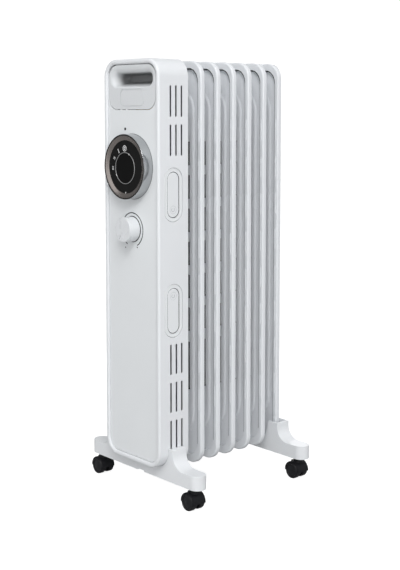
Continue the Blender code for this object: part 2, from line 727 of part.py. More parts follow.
def electrics():
    """Parts inside the housing that the heater needs to work."""
    control_body("rotary_switch", (0.034, 0.022, 0.034), DIAL_Z, BLACK_PLASTIC)
    control_body("thermostat", (0.030, 0.018, 0.040), KNOB_Z, CERAMIC)

    block = box_mesh((0.044, 0.014, 0.018), (0, at(0.0180), 0.3300))
    add("terminal_block", block, CERAMIC)

    case = box_mesh((0.022, 0.018, 0.028), (-0.034, at(0.0260), 0.0800))
    add("tip_over_switch", case, BLACK_PLASTIC)

    cutout = [(0, SHIELD_DEPTH - 0.0070), (0.0050, SHIELD_DEPTH - 0.0070),
              (0.0050, SHIELD_DEPTH - 0.0045), (0.0085, SHIELD_DEPTH - 0.0045),
              (0.0085, SHIELD_DEPTH - GAP), (0, SHIELD_DEPTH - GAP)]
    add("thermal_cutout", turned_mesh(cutout, 16), STEEL, (0, FRONT_Y, 0.1500))


# ---------------------------------------------------------------- feet


def foot_body(depth, inner_outline):
    """Bar foot with round ends and a rising collar on each side.

    inner_outline is the cradle's right half, from the collar top inwards."""
    arm = COLLAR_HALF + COLLAR_FILLET
    right = [(FOOT_HALF_LENGTH, FOOT_Z), (FOOT_HALF_LENGTH, FOOT_ARM_TOP)]
    right += arc(arm, FOOT_ARM_TOP + COLLAR_FILLET, COLLAR_FILLET, 270, 180, 5)
    right += [(COLLAR_HALF, COLLAR_TOP)] + inner_outline
    left = [(-x, z) for x, z in reversed(right)]
    width = FOOT_WIDTH / 2
    body = plate_mesh([right + left], at(depth) - width, at(depth) + width)
    stadium = obround(FOOT_WIDTH, 2 * FOOT_HALF_LENGTH)
    plan = [(z, y + at(depth)) for y, z in stadium]
    keep = plate_mesh([plan], FOOT_Z - 0.01, COLLAR_TOP + 0.01, "XY")
    return body, keep


def foot_cuts(depth, stud_depth):
    """Nut pocket, tool notch, stud hole and caster sockets, as one cutter."""
    y = at(stud_depth)
    pocket_top = NUT_Z + NUT_HEIGHT + 0.0004
    cuts = [cylinder_mesh(0.0072, FOOT_Z - 0.01, pocket_top, (0, y, 0), "Z", 16)]
    stud = cylinder_mesh(STUD_RADIUS + GAP, pocket_top - 0.001, 0.1, (0, y, 0), "Z", 12)
    sockets = [cylinder_mesh(STEM_RADIUS + GAP, FOOT_Z - 0.01, STEM_TOP + GAP,
                             (sign * SWIVEL_X, at(depth), 0), "Z", 12) for sign in (-1, 1)]
    notch = box_mesh((0.0152, FOOT_WIDTH + 0.01, 0.004), (0, at(depth), FOOT_Z))
    return [("DIFFERENCE", joined(cuts)), ("DIFFERENCE", stud),
            ("DIFFERENCE", joined(sockets)), ("DIFFERENCE", notch)]


STEM_RADIUS = 0.0030
STEM_TOP = 0.0460


def front_foot():
    clear = 0.00035
    half, low = HOUSING_HALF + clear, HOUSING_Z[0] - clear
    corner = HOUSING_CORNER + clear
    cradle = [(half, COLLAR_TOP)]
    cradle += arc(half - corner, low + corner, corner, 0, -90, 6)
    body, keep = foot_body(FOOT_DEPTHS[0], cradle)
    steps = [("INTERSECT", keep)] + foot_cuts(FOOT_DEPTHS[0], FOOT_DEPTHS[0])
    return add("front_foot", shape(body, steps), WHITE_PLASTIC)


def rear_foot():
    """The rear foot hides the last fin's corners in two hollow sockets."""
    depth = FOOT_DEPTHS[1]
    brow = [(0.0540, COLLAR_TOP), (0.0480, 0.0580), (0.0420, 0.0505), (0.0340, SADDLE_TOP)]
    body, keep = foot_body(depth, brow)
    clear = 0.00035
    rear_edge = HOUSING_DEPTH + (FIN_COUNT - 1) * FIN_PITCH
    slot = plate_mesh([rounded(FIN_HALF + clear, FIN_Z[0] - clear, 0.30, FIN_CORNER + clear, 6)],
                      at(rear_edge - FIN_DEPTH) - clear, at(rear_edge) + clear)
    inside = COLLAR_HALF - SOCKET_WALL
    deep = FOOT_WIDTH - 2 * SOCKET_WALL
    sockets = [box_mesh((inside - 0.0500, deep, 0.0400),
                        (sign * (inside + 0.0500) / 2, at(depth), 0.0580 + 0.0200))
               for sign in (-1, 1)]
    steps = [("INTERSECT", keep), ("DIFFERENCE", slot), ("DIFFERENCE", joined(sockets))]
    steps += foot_cuts(depth, REAR_STUD_DEPTH)
    return add("rear_foot", shape(body, steps), WHITE_PLASTIC)


REAR_STUD_DEPTH = HOUSING_DEPTH + (FIN_COUNT - 1) * FIN_PITCH - FIN_DEPTH / 2


def foot_fixings():
    """A welded stud and a hexagon nut hold each foot."""
    tops = (GALLERY_Z[0] - GALLERY_RADIUS - GAP, FIN_Z[0] - GAP)
    depths = (FOOT_DEPTHS[0], REAR_STUD_DEPTH)
    for name, top, depth in zip(("front", "rear"), tops, depths):
        place = (0, at(depth), 0)
        stud = cylinder_mesh(STUD_RADIUS, FOOT_Z + 0.0006, top, (0, 0, 0), "Z", 12)
        add(f"{name}_foot_stud", stud, STEEL, place)
        across = NUT_ACROSS / math.sqrt(3)
        nut = cylinder_mesh(across, NUT_Z, NUT_Z + NUT_HEIGHT, (0, 0, 0), "Z", 6)
        bore = cylinder_mesh(STUD_RADIUS + GAP, NUT_Z - 0.01, NUT_Z + 0.02, (0, 0, 0), "Z", 12)
        add(f"{name}_foot_nut", shape(nut, [("DIFFERENCE", bore)]), STEEL, place)


# ---------------------------------------------------------------- casters


def caster_meshes():
    """Body, wheel and axle of one twin wheel caster, about its swivel axis.

    The wheels trail to the left, as all four do after a push to the right."""
    wheel_x = -CASTER_TRAIL
    axle_z = WHEEL_RADIUS
    half_web = CASTER_WEB / 2
    half_hood = half_web + GAP + WHEEL_WIDTH - 0.0002
    hood_in, hood_out = WHEEL_RADIUS + 0.0007, WHEEL_RADIUS + 0.0024

    web = [(wheel_x + 0.0085 * math.cos(a), axle_z + 0.0085 * math.sin(a))
           for a in (math.pi + math.pi * i / 8 for i in range(9))]
    web += [(wheel_x + 0.0085, axle_z + hood_in + 0.0006),
            (wheel_x - 0.0085, axle_z + hood_in + 0.0006)]
    body = plate_mesh([web], -half_web, half_web)
    band = arc(wheel_x, axle_z, hood_out, 25, 155, 8) + arc(wheel_x, axle_z, hood_in, 155, 25, 8)
    hood = plate_mesh([band], -half_hood, half_hood)
    neck = cylinder_mesh(0.0058, axle_z + hood_in + 0.0003, FOOT_Z - GAP, (0, 0, 0), "Z", 16)
    stem = cylinder_mesh(STEM_RADIUS, FOOT_Z - 0.003, STEM_TOP, (0, 0, 0), "Z", 12)
    bore = cylinder_mesh(AXLE_RADIUS + GAP, -0.02, 0.02, (wheel_x, 0, axle_z), "Y", 10)
    body = shape(body, [("UNION", hood), ("UNION", neck), ("UNION", stem),
                        ("DIFFERENCE", bore)])

    hub = AXLE_RADIUS + GAP
    width = WHEEL_WIDTH
    profile = [(0, -width / 2), (WHEEL_RADIUS - 0.0012, -width / 2),
               (WHEEL_RADIUS, -width / 2 + 0.0012), (WHEEL_RADIUS, width / 2 - 0.0008),
               (WHEEL_RADIUS - 0.0008, width / 2), (hub, width / 2), (hub, -width / 2 + 0.002),
               (0, -width / 2 + 0.002)]
    wheel = turned_mesh(profile, 20)
    half_axle = half_web + GAP + WHEEL_WIDTH - 0.0020 - GAP
    axle = cylinder_mesh(AXLE_RADIUS, -half_axle, half_axle, (0, 0, 0), "Y", 10)
    return body, wheel, axle, wheel_x


def casters():
    for side, left_right in ((1, "right"), (-1, "left")):
        for depth, front_rear in zip(FOOT_DEPTHS, ("front", "rear")):
            name = f"caster_{front_rear}_{left_right}"
            body, wheel, axle, wheel_x = caster_meshes()
            swivel = moving(f"{name}_swivel", (side * SWIVEL_X, at(depth), 0))
            hang(add(f"{name}_body", body, BLACK_PLASTIC, swivel.location), swivel)
            centre = Vector((side * SWIVEL_X + wheel_x, at(depth), WHEEL_RADIUS))
            spin = hang(moving(f"{name}_axle_line", centre), swivel)
            shift = CASTER_WEB / 2 + GAP + WHEEL_WIDTH / 2
            for label, way in (("front", 1), ("rear", -1)):
                mesh = wheel.copy()
                mesh.transform(Matrix.Rotation(0 if way > 0 else math.pi, 4, "Z"))
                tyre = add(f"{name}_wheel_{label}", mesh, BLACK_PLASTIC)
                tyre.parent = spin
                tyre.location = (0, -way * shift, 0)
            pin = add(f"{name}_axle", axle, STEEL)
            pin.parent = spin


# ---------------------------------------------------------------- assembly

clear_scene()
HEATER = make_collection("oil_filled_radiator")
CUTTERS = make_collection("cutters")

WHITE_PLASTIC = material("white_plastic", (0.80, 0.82, 0.83), 0.38)
WHITE_STEEL = material("white_enamelled_steel", (0.78, 0.80, 0.81), 0.32)
BLACK_PLASTIC = material("black_plastic", (0.012, 0.012, 0.013), 0.42)
GUNMETAL = material("gunmetal", (0.16, 0.15, 0.14), 0.35, 0.9)
STEEL = material("zinc_plated_steel", (0.62, 0.63, 0.64), 0.35, 1.0)
BRASS = material("brass", (0.72, 0.53, 0.24), 0.35, 1.0)
CERAMIC = material("ceramic", (0.82, 0.80, 0.75), 0.55)

control_housing()
front_panel()
handle_bezel()
badge_plate()
pilot_lamp()
inlet_bush()
heat_shield()
power_dial()
thermostat_knob()
cord_hook("cord_hook_upper", HOOK_CENTRES[0], 1)
cord_hook("cord_hook_lower", HOOK_CENTRES[1], -1)
fins()
galleries()
gallery_fittings()
electrics()
front_foot()
rear_foot()
foot_fixings()
casters()
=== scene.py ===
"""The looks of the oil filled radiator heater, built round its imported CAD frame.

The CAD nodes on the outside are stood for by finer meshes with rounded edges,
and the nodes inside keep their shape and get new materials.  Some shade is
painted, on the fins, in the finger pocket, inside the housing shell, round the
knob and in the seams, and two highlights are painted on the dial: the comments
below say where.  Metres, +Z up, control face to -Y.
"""

import math

import bmesh
import bpy
from mathutils import Matrix, Vector


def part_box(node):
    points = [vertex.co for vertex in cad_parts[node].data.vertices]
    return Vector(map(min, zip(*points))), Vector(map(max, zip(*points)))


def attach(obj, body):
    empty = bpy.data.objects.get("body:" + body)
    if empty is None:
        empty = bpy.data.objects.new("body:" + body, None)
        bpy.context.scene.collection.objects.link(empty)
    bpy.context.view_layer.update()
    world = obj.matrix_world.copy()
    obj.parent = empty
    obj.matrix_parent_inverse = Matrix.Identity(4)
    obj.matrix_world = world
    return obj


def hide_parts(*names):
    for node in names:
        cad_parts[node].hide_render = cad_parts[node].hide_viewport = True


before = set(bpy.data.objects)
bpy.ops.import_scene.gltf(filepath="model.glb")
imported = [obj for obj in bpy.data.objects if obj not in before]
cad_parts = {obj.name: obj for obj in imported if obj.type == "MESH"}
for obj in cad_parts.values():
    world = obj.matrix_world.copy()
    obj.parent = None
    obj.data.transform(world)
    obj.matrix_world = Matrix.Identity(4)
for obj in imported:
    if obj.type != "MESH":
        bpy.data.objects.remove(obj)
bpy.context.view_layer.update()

# ---------------------------------------------------------------- dimensions

FRONT_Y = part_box("control_housing")[0].y
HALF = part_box("control_housing")[1].x
HOUSING_Z = (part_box("control_housing")[0].z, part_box("control_housing")[1].z)
HOUSING_DEPTH = 0.0533
CORNER = 0.0250
RIM = 0.0072
PANEL_DEPTH = 0.0030
BEZEL = (0.0530, 0.5545, 0.6172, 0.0180)
DIAL_Z = 0.4743
KNOB_Z = 0.3857
LAMP_X, LAMP_Z = -0.0160, 0.5270
HOOK_DEPTH = 0.0260
HOOK_Z = {"upper": 0.4366, "lower": 0.2742}
INLET_Z = 0.3000
PRINT_HEIGHT = 0.00012
FIN_PITCH = 0.0306
FIN_BACK = HOUSING_DEPTH + 6 * FIN_PITCH
CREVICE = -0.0026
FOLD_LIP = -0.00746
SLOT_X = 0.0322
FOOT_DEPTHS = (0.02785, 0.23455)
FOOT_HALF_LENGTH = 0.1232
FOOT_WIDTH = 0.0251
SWIVEL_X = 0.1057
CASTER_TRAIL = 0.0035
AXLE_Z = 0.0120

SHARP_DEGREES = 38

# Strength of the light from below and from above, to everything but the camera.
GROUND, SKY = 0.24, 0.62


def at(depth):
    """World y of a depth behind the housing's front rim."""
    return FRONT_Y + depth


# ---------------------------------------------------------------- outlines


def rounded(half, z0, z1, radius, steps=12, centre=0.0):
    """Points of an upright rectangle with round corners, anticlockwise."""
    points = []
    for x, z, start in ((1, z0, -90), (1, z1, 0), (-1, z1, 90), (-1, z0, 180)):
        cx = x * (half - radius) + centre
        cz = z + radius if z == z0 else z - radius
        for i in range(steps + 1):
            a = math.radians(start + 90 * i / steps)
            points.append((cx + radius * math.cos(a), cz + radius * math.sin(a)))
    return points


def obround(width, height, y, z, steps=10):
    """An upright oval with straight sides round the point y, z."""
    radius = width / 2 - 1e-5
    return rounded(width / 2, z - height / 2, z + height / 2, radius, steps, y)


def arc(cx, cz, radius, start, end, steps):
    angles = [math.radians(start + (end - start) * i / steps) for i in range(steps + 1)]
    return [(cx + radius * math.cos(a), cz + radius * math.sin(a)) for a in angles]


def facing_front(points, depth):
    return [(x, at(depth), z) for x, z in points]


def facing_side(points, x):
    return [(x, y, z) for y, z in points]


# ---------------------------------------------------------------- solids


def to_mesh(work):
    bmesh.ops.recalc_face_normals(work, faces=work.faces)
    mesh = bpy.data.meshes.new("solid")
    work.to_mesh(mesh)
    work.free()
    return mesh


def loft(loops, ring=False):
    """A skin over loops with the same number of points: capped at both ends,
    or closed on itself when ring is true."""
    work = bmesh.new()
    rows = [[work.verts.new(p) for p in loop] for loop in loops]
    pairs = list(zip(rows, rows[1:]))
    if ring:
        pairs.append((rows[-1], rows[0]))
    else:
        work.faces.new(list(reversed(rows[0])))
        work.faces.new(rows[-1])
    for one, two in pairs:
        for i in range(len(one)):
            j = (i + 1) % len(one)
            work.faces.new((one[i], one[j], two[j], two[i]))
    return to_mesh(work)


def prism(points, near, far, axis="Y"):
    """An outline pushed out between two places along an axis."""
    place = {
        "Y": lambda u, v, w: (u, w, v),
        "X": lambda u, v, w: (w, u, v),
        "Z": lambda u, v, w: (u, v, w),
    }[axis]
    return loft([[place(u, v, w) for u, v in points] for w in (near, far)])


def lathe(profile, steps=96, closed=False):
    """Pairs of radius and depth turned about the Y axis; a profile that isn't
    closed starts and ends on the axis."""
    work = bmesh.new()
    rows = []
    for radius, depth in profile:
        if radius < 1e-7:
            rows.append([work.verts.new((0, depth, 0))])
            continue
        angles = [2 * math.pi * i / steps for i in range(steps)]
        rows.append([work.verts.new((radius * math.cos(a), depth, radius * math.sin(a)))
                     for a in angles])
    pairs = list(zip(rows, rows[1:]))
    if closed:
        pairs.append((rows[-1], rows[0]))
    for one, two in pairs:
        for i in range(steps):
            j = (i + 1) % steps
            corners = [one[i % len(one)], one[j % len(one)], two[j % len(two)], two[i % len(two)]]
            unique = list(dict.fromkeys(corners))
            if len(unique) > 2:
                work.faces.new(unique)
    return to_mesh(work)


def moved(mesh, *matrices):
    for matrix in matrices:
        mesh.transform(matrix)
    return mesh


def shifted(mesh, x, y, z):
    return moved(mesh, Matrix.Translation((x, y, z)))


def together(meshes):
    """Several loose solids in one mesh."""
    work = bmesh.new()
    for mesh in meshes:
        work.from_mesh(mesh)
        bpy.data.meshes.remove(mesh)
    return to_mesh(work)


def worked(mesh, *steps):
    """Apply modifiers in turn: ("DIFFERENCE" or another Boolean, mesh),
    ("BEVEL", width, segments) or ("SOLIDIFY", thickness, offset)."""
    obj = bpy.data.objects.new("work", mesh)
    bpy.context.scene.collection.objects.link(obj)
    tools = []
    for kind, *values in steps:
        if kind == "BEVEL":
            modifier = obj.modifiers.new("edge", "BEVEL")
            modifier.width, modifier.segments = values
            modifier.limit_method = "ANGLE"
            modifier.angle_limit = math.radians(48)
        elif kind == "SOLIDIFY":
            modifier = obj.modifiers.new("wall", "SOLIDIFY")
            modifier.thickness, modifier.offset = values
            modifier.use_even_offset = True
        else:
            tool = bpy.data.objects.new("cutter", values[0])
            bpy.context.scene.collection.objects.link(tool)
            tool.hide_render = True
            modifier = obj.modifiers.new("cut", "BOOLEAN")
            modifier.operation = kind
            modifier.solver = "EXACT"
            modifier.object = tool
            tools.append(tool)
    depsgraph = bpy.context.evaluated_depsgraph_get()
    result = bpy.data.meshes.new_from_object(obj.evaluated_get(depsgraph))
    work = bmesh.new()
    work.from_mesh(result)
    bmesh.ops.remove_doubles(work, verts=work.verts, dist=1e-6)
    bmesh.ops.dissolve_degenerate(work, edges=work.edges, dist=1e-6)
    work.to_mesh(result)
    work.free()
    for item in (obj, *tools):
        bpy.data.objects.remove(item)
    return result


def piece(name, mesh, material, body, slot, *nodes, place=(0, 0, 0)):
    """Show a mesh as one piece that rides on a body and stands for CAD nodes."""
    mesh.name = name
    mesh.materials.clear()
    mesh.materials.append(material)
    mesh.shade_smooth()
    mesh.set_sharp_from_angle(angle=math.radians(SHARP_DEGREES))
    obj = bpy.data.objects.new(name, mesh)
    obj.location = place
    bpy.context.scene.collection.objects.link(obj)
    normals = obj.modifiers.new("normals", "WEIGHTED_NORMAL")
    normals.keep_sharp = True
    normals.weight = 60
    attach(obj, body)
    if nodes:
        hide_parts(*nodes)
    return obj


# ---------------------------------------------------------------- materials


class Shader:
    """A Principled material with a few procedural layers."""

    def __init__(self, name, colour, roughness, metallic=0.0, specular=0.5):
        self.material = bpy.data.materials.new(name)
        self.material.use_nodes = True
        self.tree = self.material.node_tree
        self.shader = self.tree.nodes["Principled BSDF"]
        self.colour = colour
        self.roughness = roughness
        self.set("Base Color", (*colour, 1))
        self.set("Roughness", roughness)
        self.set("Metallic", metallic)
        self.set("Specular IOR Level", specular)
        self.where = self.node("ShaderNodeTexCoord").outputs["Object"]
        self.normal = None

    def set(self, socket, value):
        self.shader.inputs[socket].default_value = value
        return self

    def node(self, kind, **inputs):
        made = self.tree.nodes.new(kind)
        for name, value in inputs.items():
            socket = made.inputs[name.replace("_", " ")]
            if isinstance(value, bpy.types.NodeSocket):
                self.tree.links.new(value, socket)
            else:
                socket.default_value = value
        return made

    def stretched(self, scale):
        return self.node("ShaderNodeMapping", Vector=self.where, Scale=scale).outputs["Vector"]

    def noise(self, scale, detail=2.0, where=None):
        made = self.node("ShaderNodeTexNoise", Vector=where or self.where, Scale=scale,
                         Detail=detail)
        return made.outputs["Fac"]

    def ramp(self, value, low, high):
        """Spread a 0 to 1 value between two colours or two numbers."""
        made = self.tree.nodes.new("ShaderNodeValToRGB")
        self.tree.links.new(value, made.inputs["Fac"])
        for stop, place, colour in zip(made.color_ramp.elements, (0.3, 0.7), (low, high)):
            shade = colour if isinstance(colour, tuple) else (colour,) * 3
            stop.position = place
            stop.color = (*shade, 1)
        return made.outputs["Color"]

    def mottle(self, scale, spread):
        """Slight cloudiness of the colour."""
        low = tuple(c * (1 - spread) for c in self.colour)
        high = tuple(min(1, c * (1 + spread)) for c in self.colour)
        self.tree.links.new(self.ramp(self.noise(scale), low, high), self.shader.inputs["Base Color"])
        return self

    def fade(self, shade, *spans):
        """Paint shade: darken the colour where every span (axis, centre, start, end) is reached."""
        factor = None
        for axis, centre, start, end in spans:
            offset = self.node("ShaderNodeMath")
            offset.operation = "SUBTRACT"
            place = self.node("ShaderNodeSeparateXYZ", Vector=self.where).outputs[axis]
            self.tree.links.new(place, offset.inputs[0])
            offset.inputs[1].default_value = centre
            size = self.node("ShaderNodeMath")
            size.operation = "ABSOLUTE"
            self.tree.links.new(offset.outputs[0], size.inputs[0])
            share = self.node("ShaderNodeMapRange", Value=size.outputs[0], From_Min=start,
                              From_Max=end)
            share.interpolation_type = "SMOOTHSTEP"
            if factor is not None:
                both = self.node("ShaderNodeMath")
                both.operation = "MULTIPLY"
                self.tree.links.new(factor, both.inputs[0])
                self.tree.links.new(share.outputs["Result"], both.inputs[1])
                factor = both.outputs[0]
            else:
                factor = share.outputs["Result"]
        mix = self.tree.nodes.new("ShaderNodeMix")
        mix.data_type = "RGBA"
        base = self.shader.inputs["Base Color"].links[0].from_socket
        dark = (*(c * shade for c in self.colour), 1)
        self.tree.links.new(factor, mix.inputs[0])
        self.tree.links.new(base, mix.inputs[6])
        mix.inputs[7].default_value = dark
        self.tree.links.new(mix.outputs[2], self.shader.inputs["Base Color"])
        return self

    def sheen_patches(self, scale, spread, where=None):
        """Slight unevenness of the gloss."""
        fac = self.noise(scale, 3.0, where)
        rough = self.ramp(fac, max(0.02, self.roughness - spread), self.roughness + spread)
        self.tree.links.new(rough, self.shader.inputs["Roughness"])
        return self

    def grain(self, scale, height, detail=2.0, where=None):
        """Fine relief, a bump of the given height in metres."""
        bump = self.node("ShaderNodeBump", Strength=1.0, Distance=height,
                         Height=self.noise(scale, detail, where))
        if self.normal is not None:
            self.tree.links.new(self.normal, bump.inputs["Normal"])
        self.normal = bump.outputs["Normal"]
        self.tree.links.new(self.normal, self.shader.inputs["Normal"])
        return self


def moulded_plastic(name, colour, roughness, relief=0.000002, specular=0.5, deep=None):
    shader = Shader(name, colour, roughness, specular=specular)
    shader.mottle(14, 0.010).sheen_patches(55, 0.025).grain(2400, relief, 2.0)
    if deep:
        shader.fade(*deep)
    return shader.material


def enamel(name, colour, roughness, deep=None):
    shader = Shader(name, colour, roughness).set("Coat Weight", 0.25).set("Coat Roughness", 0.18)
    shader.mottle(9, 0.015).sheen_patches(30, 0.04).grain(300, 0.0000015, 1.0)
    if deep:
        shader.fade(*deep)
    return shader.material


def brushed(name, colour, roughness, direction=(60, 60, 2400)):
    shader = Shader(name, colour, roughness, metallic=1.0)
    lines = shader.stretched(direction)
    shader.mottle(20, 0.03).sheen_patches(1.0, 0.04, lines).grain(1.0, 0.0000012, 2.0, lines)
    return shader.material


HOUSING_WHITE = moulded_plastic("housing_abs", (0.785, 0.800, 0.820), 0.36, 0.000001)
# Painted shade: a near-black colour for the faces inside the white housing shell.
HOUSING_INSIDE_SHADE = moulded_plastic("housing_inside_painted_shade", (0.060, 0.061, 0.063), 0.7)
PANEL_WHITE = moulded_plastic("panel_abs", (0.795, 0.815, 0.828), 0.46)
FOOT_WHITE = moulded_plastic("foot_abs", (0.800, 0.815, 0.832), 0.34, 0.0000005)
KNOB_WHITE = moulded_plastic("knob_abs", (0.740, 0.756, 0.774), 0.28)
HOOK_WHITE = moulded_plastic("hook_abs", (0.790, 0.806, 0.822), 0.36)
# Painted shade: the pocket's colour darkens with depth behind the front rim.
POCKET_WHITE = moulded_plastic("pocket_abs_painted_shade", (0.705, 0.722, 0.736), 0.40,
                               deep=(0.27, ("Y", FRONT_Y, 0.0060, 0.0200)))
FIN_ENAMEL = enamel("fin_enamel", (0.785, 0.803, 0.827), 0.24)
# Painted shade: fins 1 to 6 darken in their middles, standing for the shade deep between the fins.
FIN_SHADED = enamel("fin_enamel_painted_shade", (0.785, 0.803, 0.827), 0.24,
                    deep=(0.05, ("X", 0, 0.0240, 0.0200), ("Z", 0.33, 0.225, 0.205)))
# Painted shadow for the fins' top folds and air slot walls, and painted grey shade for the folds'
# lips.
CREVICE_SHADOW = enamel("fin_fold_shadow", (0.030, 0.031, 0.033), 0.60)
FOLD_LIP_SHADE = enamel("fin_fold_lip_painted_shade", (0.260, 0.268, 0.280), 0.50)
PIPE_ENAMEL = enamel("gallery_enamel", (0.500, 0.512, 0.530), 0.38)
CASTER_BLACK = moulded_plastic("caster_nylon", (0.010, 0.010, 0.012), 0.52, 0.000006, 0.18)
HUB_BLACK = moulded_plastic("wheel_hub_nylon", (0.010, 0.010, 0.012), 0.36, 0.000002, 0.24)
INNER_BLACK = moulded_plastic("inner_plastic", (0.030, 0.030, 0.032), 0.50)
DIAL_BLACK = moulded_plastic("dial_face_plastic", (0.0085, 0.0085, 0.0085), 0.38, 0.000001, 0.10)
DIAL_INSET = moulded_plastic("dial_inset_plastic", (0.0045, 0.0045, 0.0045), 0.34, 0.000001, 0.08)
EDGE_BLACK = moulded_plastic("dial_edge_lacquer", (0.006, 0.006, 0.006), 0.40, 0.000001, 0.12)
PRINT_AND_GLINT_WHITE = moulded_plastic("dial_print_and_glints", (0.72, 0.72, 0.72), 0.5)
GAP_SHADOW_GREY = moulded_plastic("seam_shadow", (0.30, 0.31, 0.32), 0.6, 0.000001, 0.1)
MARK_GREY = moulded_plastic("hook_mark", (0.520, 0.535, 0.555), 0.5, 0.000001, 0.3)
PRINT_AND_SHADE_GREY = moulded_plastic("scale_print_and_painted_shade", (0.045, 0.047, 0.052), 0.6, 0.000001, 0.1)
DIAL_SILVER = brushed("dial_collar_satin", (0.50, 0.51, 0.52), 0.13, (40, 2400, 40))
DIAL_BRONZE = brushed("dial_ring_gunmetal", (0.30, 0.27, 0.255), 0.26, (60, 60, 60))
RING_SILVER = brushed("dial_light_ring", (0.60, 0.60, 0.60), 0.35, (900, 900, 900))
ZINC = brushed("zinc_plate", (0.62, 0.63, 0.64), 0.32)
BRASS = brushed("turned_brass", (0.72, 0.53, 0.24), 0.30)
CERAMIC = moulded_plastic("ceramic_body", (0.70, 0.68, 0.62), 0.55, 0.00003)

INSIDE = {
    INNER_BLACK: ("rotary_switch", "tip_over_switch"),
    CERAMIC: ("thermostat", "terminal_block"),
    BRASS: ("oil_filler_plug", "element_flange"),
    ZINC: ("heat_shield", "thermal_cutout", "heating_element", "dial_shaft", "thermostat_shaft",
           "cord_hook_upper_pin", "cord_hook_lower_pin", "front_foot_stud", "rear_foot_stud",
           "front_foot_nut", "rear_foot_nut"),
}
for finish, names in INSIDE.items():
    for name in names:
        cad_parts[name].data.materials.clear()
        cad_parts[name].data.materials.append(finish)


# ---------------------------------------------------------------- housing


def housing_loop(inset, depth):
    z0, z1 = HOUSING_Z
    radius = CORNER - inset
    return facing_front(rounded(HALF - inset, z0 + inset, z1 - inset, radius), depth)


def control_housing():
    outer, inner = 0.0032, (0.0030, 0.0024)
    section = [(0.0025, 0.0055), (0.0025, 0.0529), (0.0021, HOUSING_DEPTH),
               (0.0005, HOUSING_DEPTH), (0.0, 0.0528)]
    for i in range(7):
        a = math.radians(15 * i)
        section.append((outer * (1 - math.cos(a)), outer * (1 - math.sin(a))))
    for i in range(6):
        a = math.radians(18 * i)
        section.append((RIM - inner[0] * (1 - math.sin(a)), inner[1] * (1 - math.cos(a))))
    section.append((RIM, 0.0055))
    body = loft([housing_loop(*place) for place in section], ring=True)
    cuts, reliefs = [], []
    for z in (0.5660, 0.5123, 0.2054, 0.1512, 0.0970):
        for depth in (0.0212, 0.0311, 0.0410):
            slot = rounded(0.0015, z - 0.0215, z + 0.0215, 0.0012, 4, at(depth))
            cuts.append(prism(slot, -HALF - 0.004, HALF + 0.004, "X"))
            relief = rounded(0.0036, z - 0.0236, z + 0.0236, 0.0020, 4, at(depth))
            reliefs.append(prism(relief, -HALF + 0.0008, HALF - 0.0008, "X"))
    for z in HOOK_Z.values():
        cuts.append(prism(obround(0.0330, 0.0756, at(HOOK_DEPTH), z, 16), HALF - 0.006,
                          HALF + 0.006, "X"))
    inlet = lathe([(0, -0.01), (0.0068, -0.01), (0.0068, 0.01), (0, 0.01)], 32)
    cuts.append(moved(inlet, Matrix.Rotation(math.pi / 2, 4, "Z"),
                      Matrix.Translation((-HALF, at(HOOK_DEPTH), INLET_Z))))
    mesh = worked(body, ("DIFFERENCE", together(reliefs)), ("DIFFERENCE", together(cuts)))
    shell = piece("housing_shell", mesh, HOUSING_WHITE, "heater", "white_plastic",
                  "control_housing")
    shell.data.materials.append(HOUSING_INSIDE_SHADE)
    # Faces inside the shell take a dark painted shade: they're found by their
    # distance from the outline.
    middle, reach = sum(HOUSING_Z) / 2, (HOUSING_Z[1] - HOUSING_Z[0]) / 2
    for face in shell.data.polygons:
        u = abs(face.center.x) - HALF + CORNER
        v = abs(face.center.z - middle) - reach + CORNER
        inset = CORNER - math.hypot(max(u, 0), max(v, 0)) - min(max(u, v), 0)
        face.material_index = int(inset > 0.0015 and face.center.y > at(0.0056))


def front_panel():
    z0, z1 = HOUSING_Z
    inset = RIM + 0.0006

    def loop(more, depth):
        step = inset + more
        return facing_front(rounded(HALF - step, z0 + step, z1 - step, CORNER - step), depth)

    body = loft([loop(0, 0.0050), loop(0, 0.0034), loop(0.0001, 0.0031), loop(0.0004, 0.0030)])
    half, low, high, corner = BEZEL
    window = prism(rounded(half + 0.0006, low - 0.0006, high + 0.03, corner), at(0.0), at(0.01))
    holes = []
    for radius, x, z in ((0.0036, 0, DIAL_Z), (0.0036, 0, KNOB_Z), (0.0017, LAMP_X, LAMP_Z)):
        hole = lathe([(0, 0.0), (radius, 0.0), (radius, 0.01), (0, 0.01)], 24)
        holes.append(shifted(hole, x, FRONT_Y, z))
    mesh = worked(body, ("DIFFERENCE", window), ("DIFFERENCE", together(holes)))
    piece("front_cover", mesh, PANEL_WHITE, "heater", "white_plastic", "front_panel")


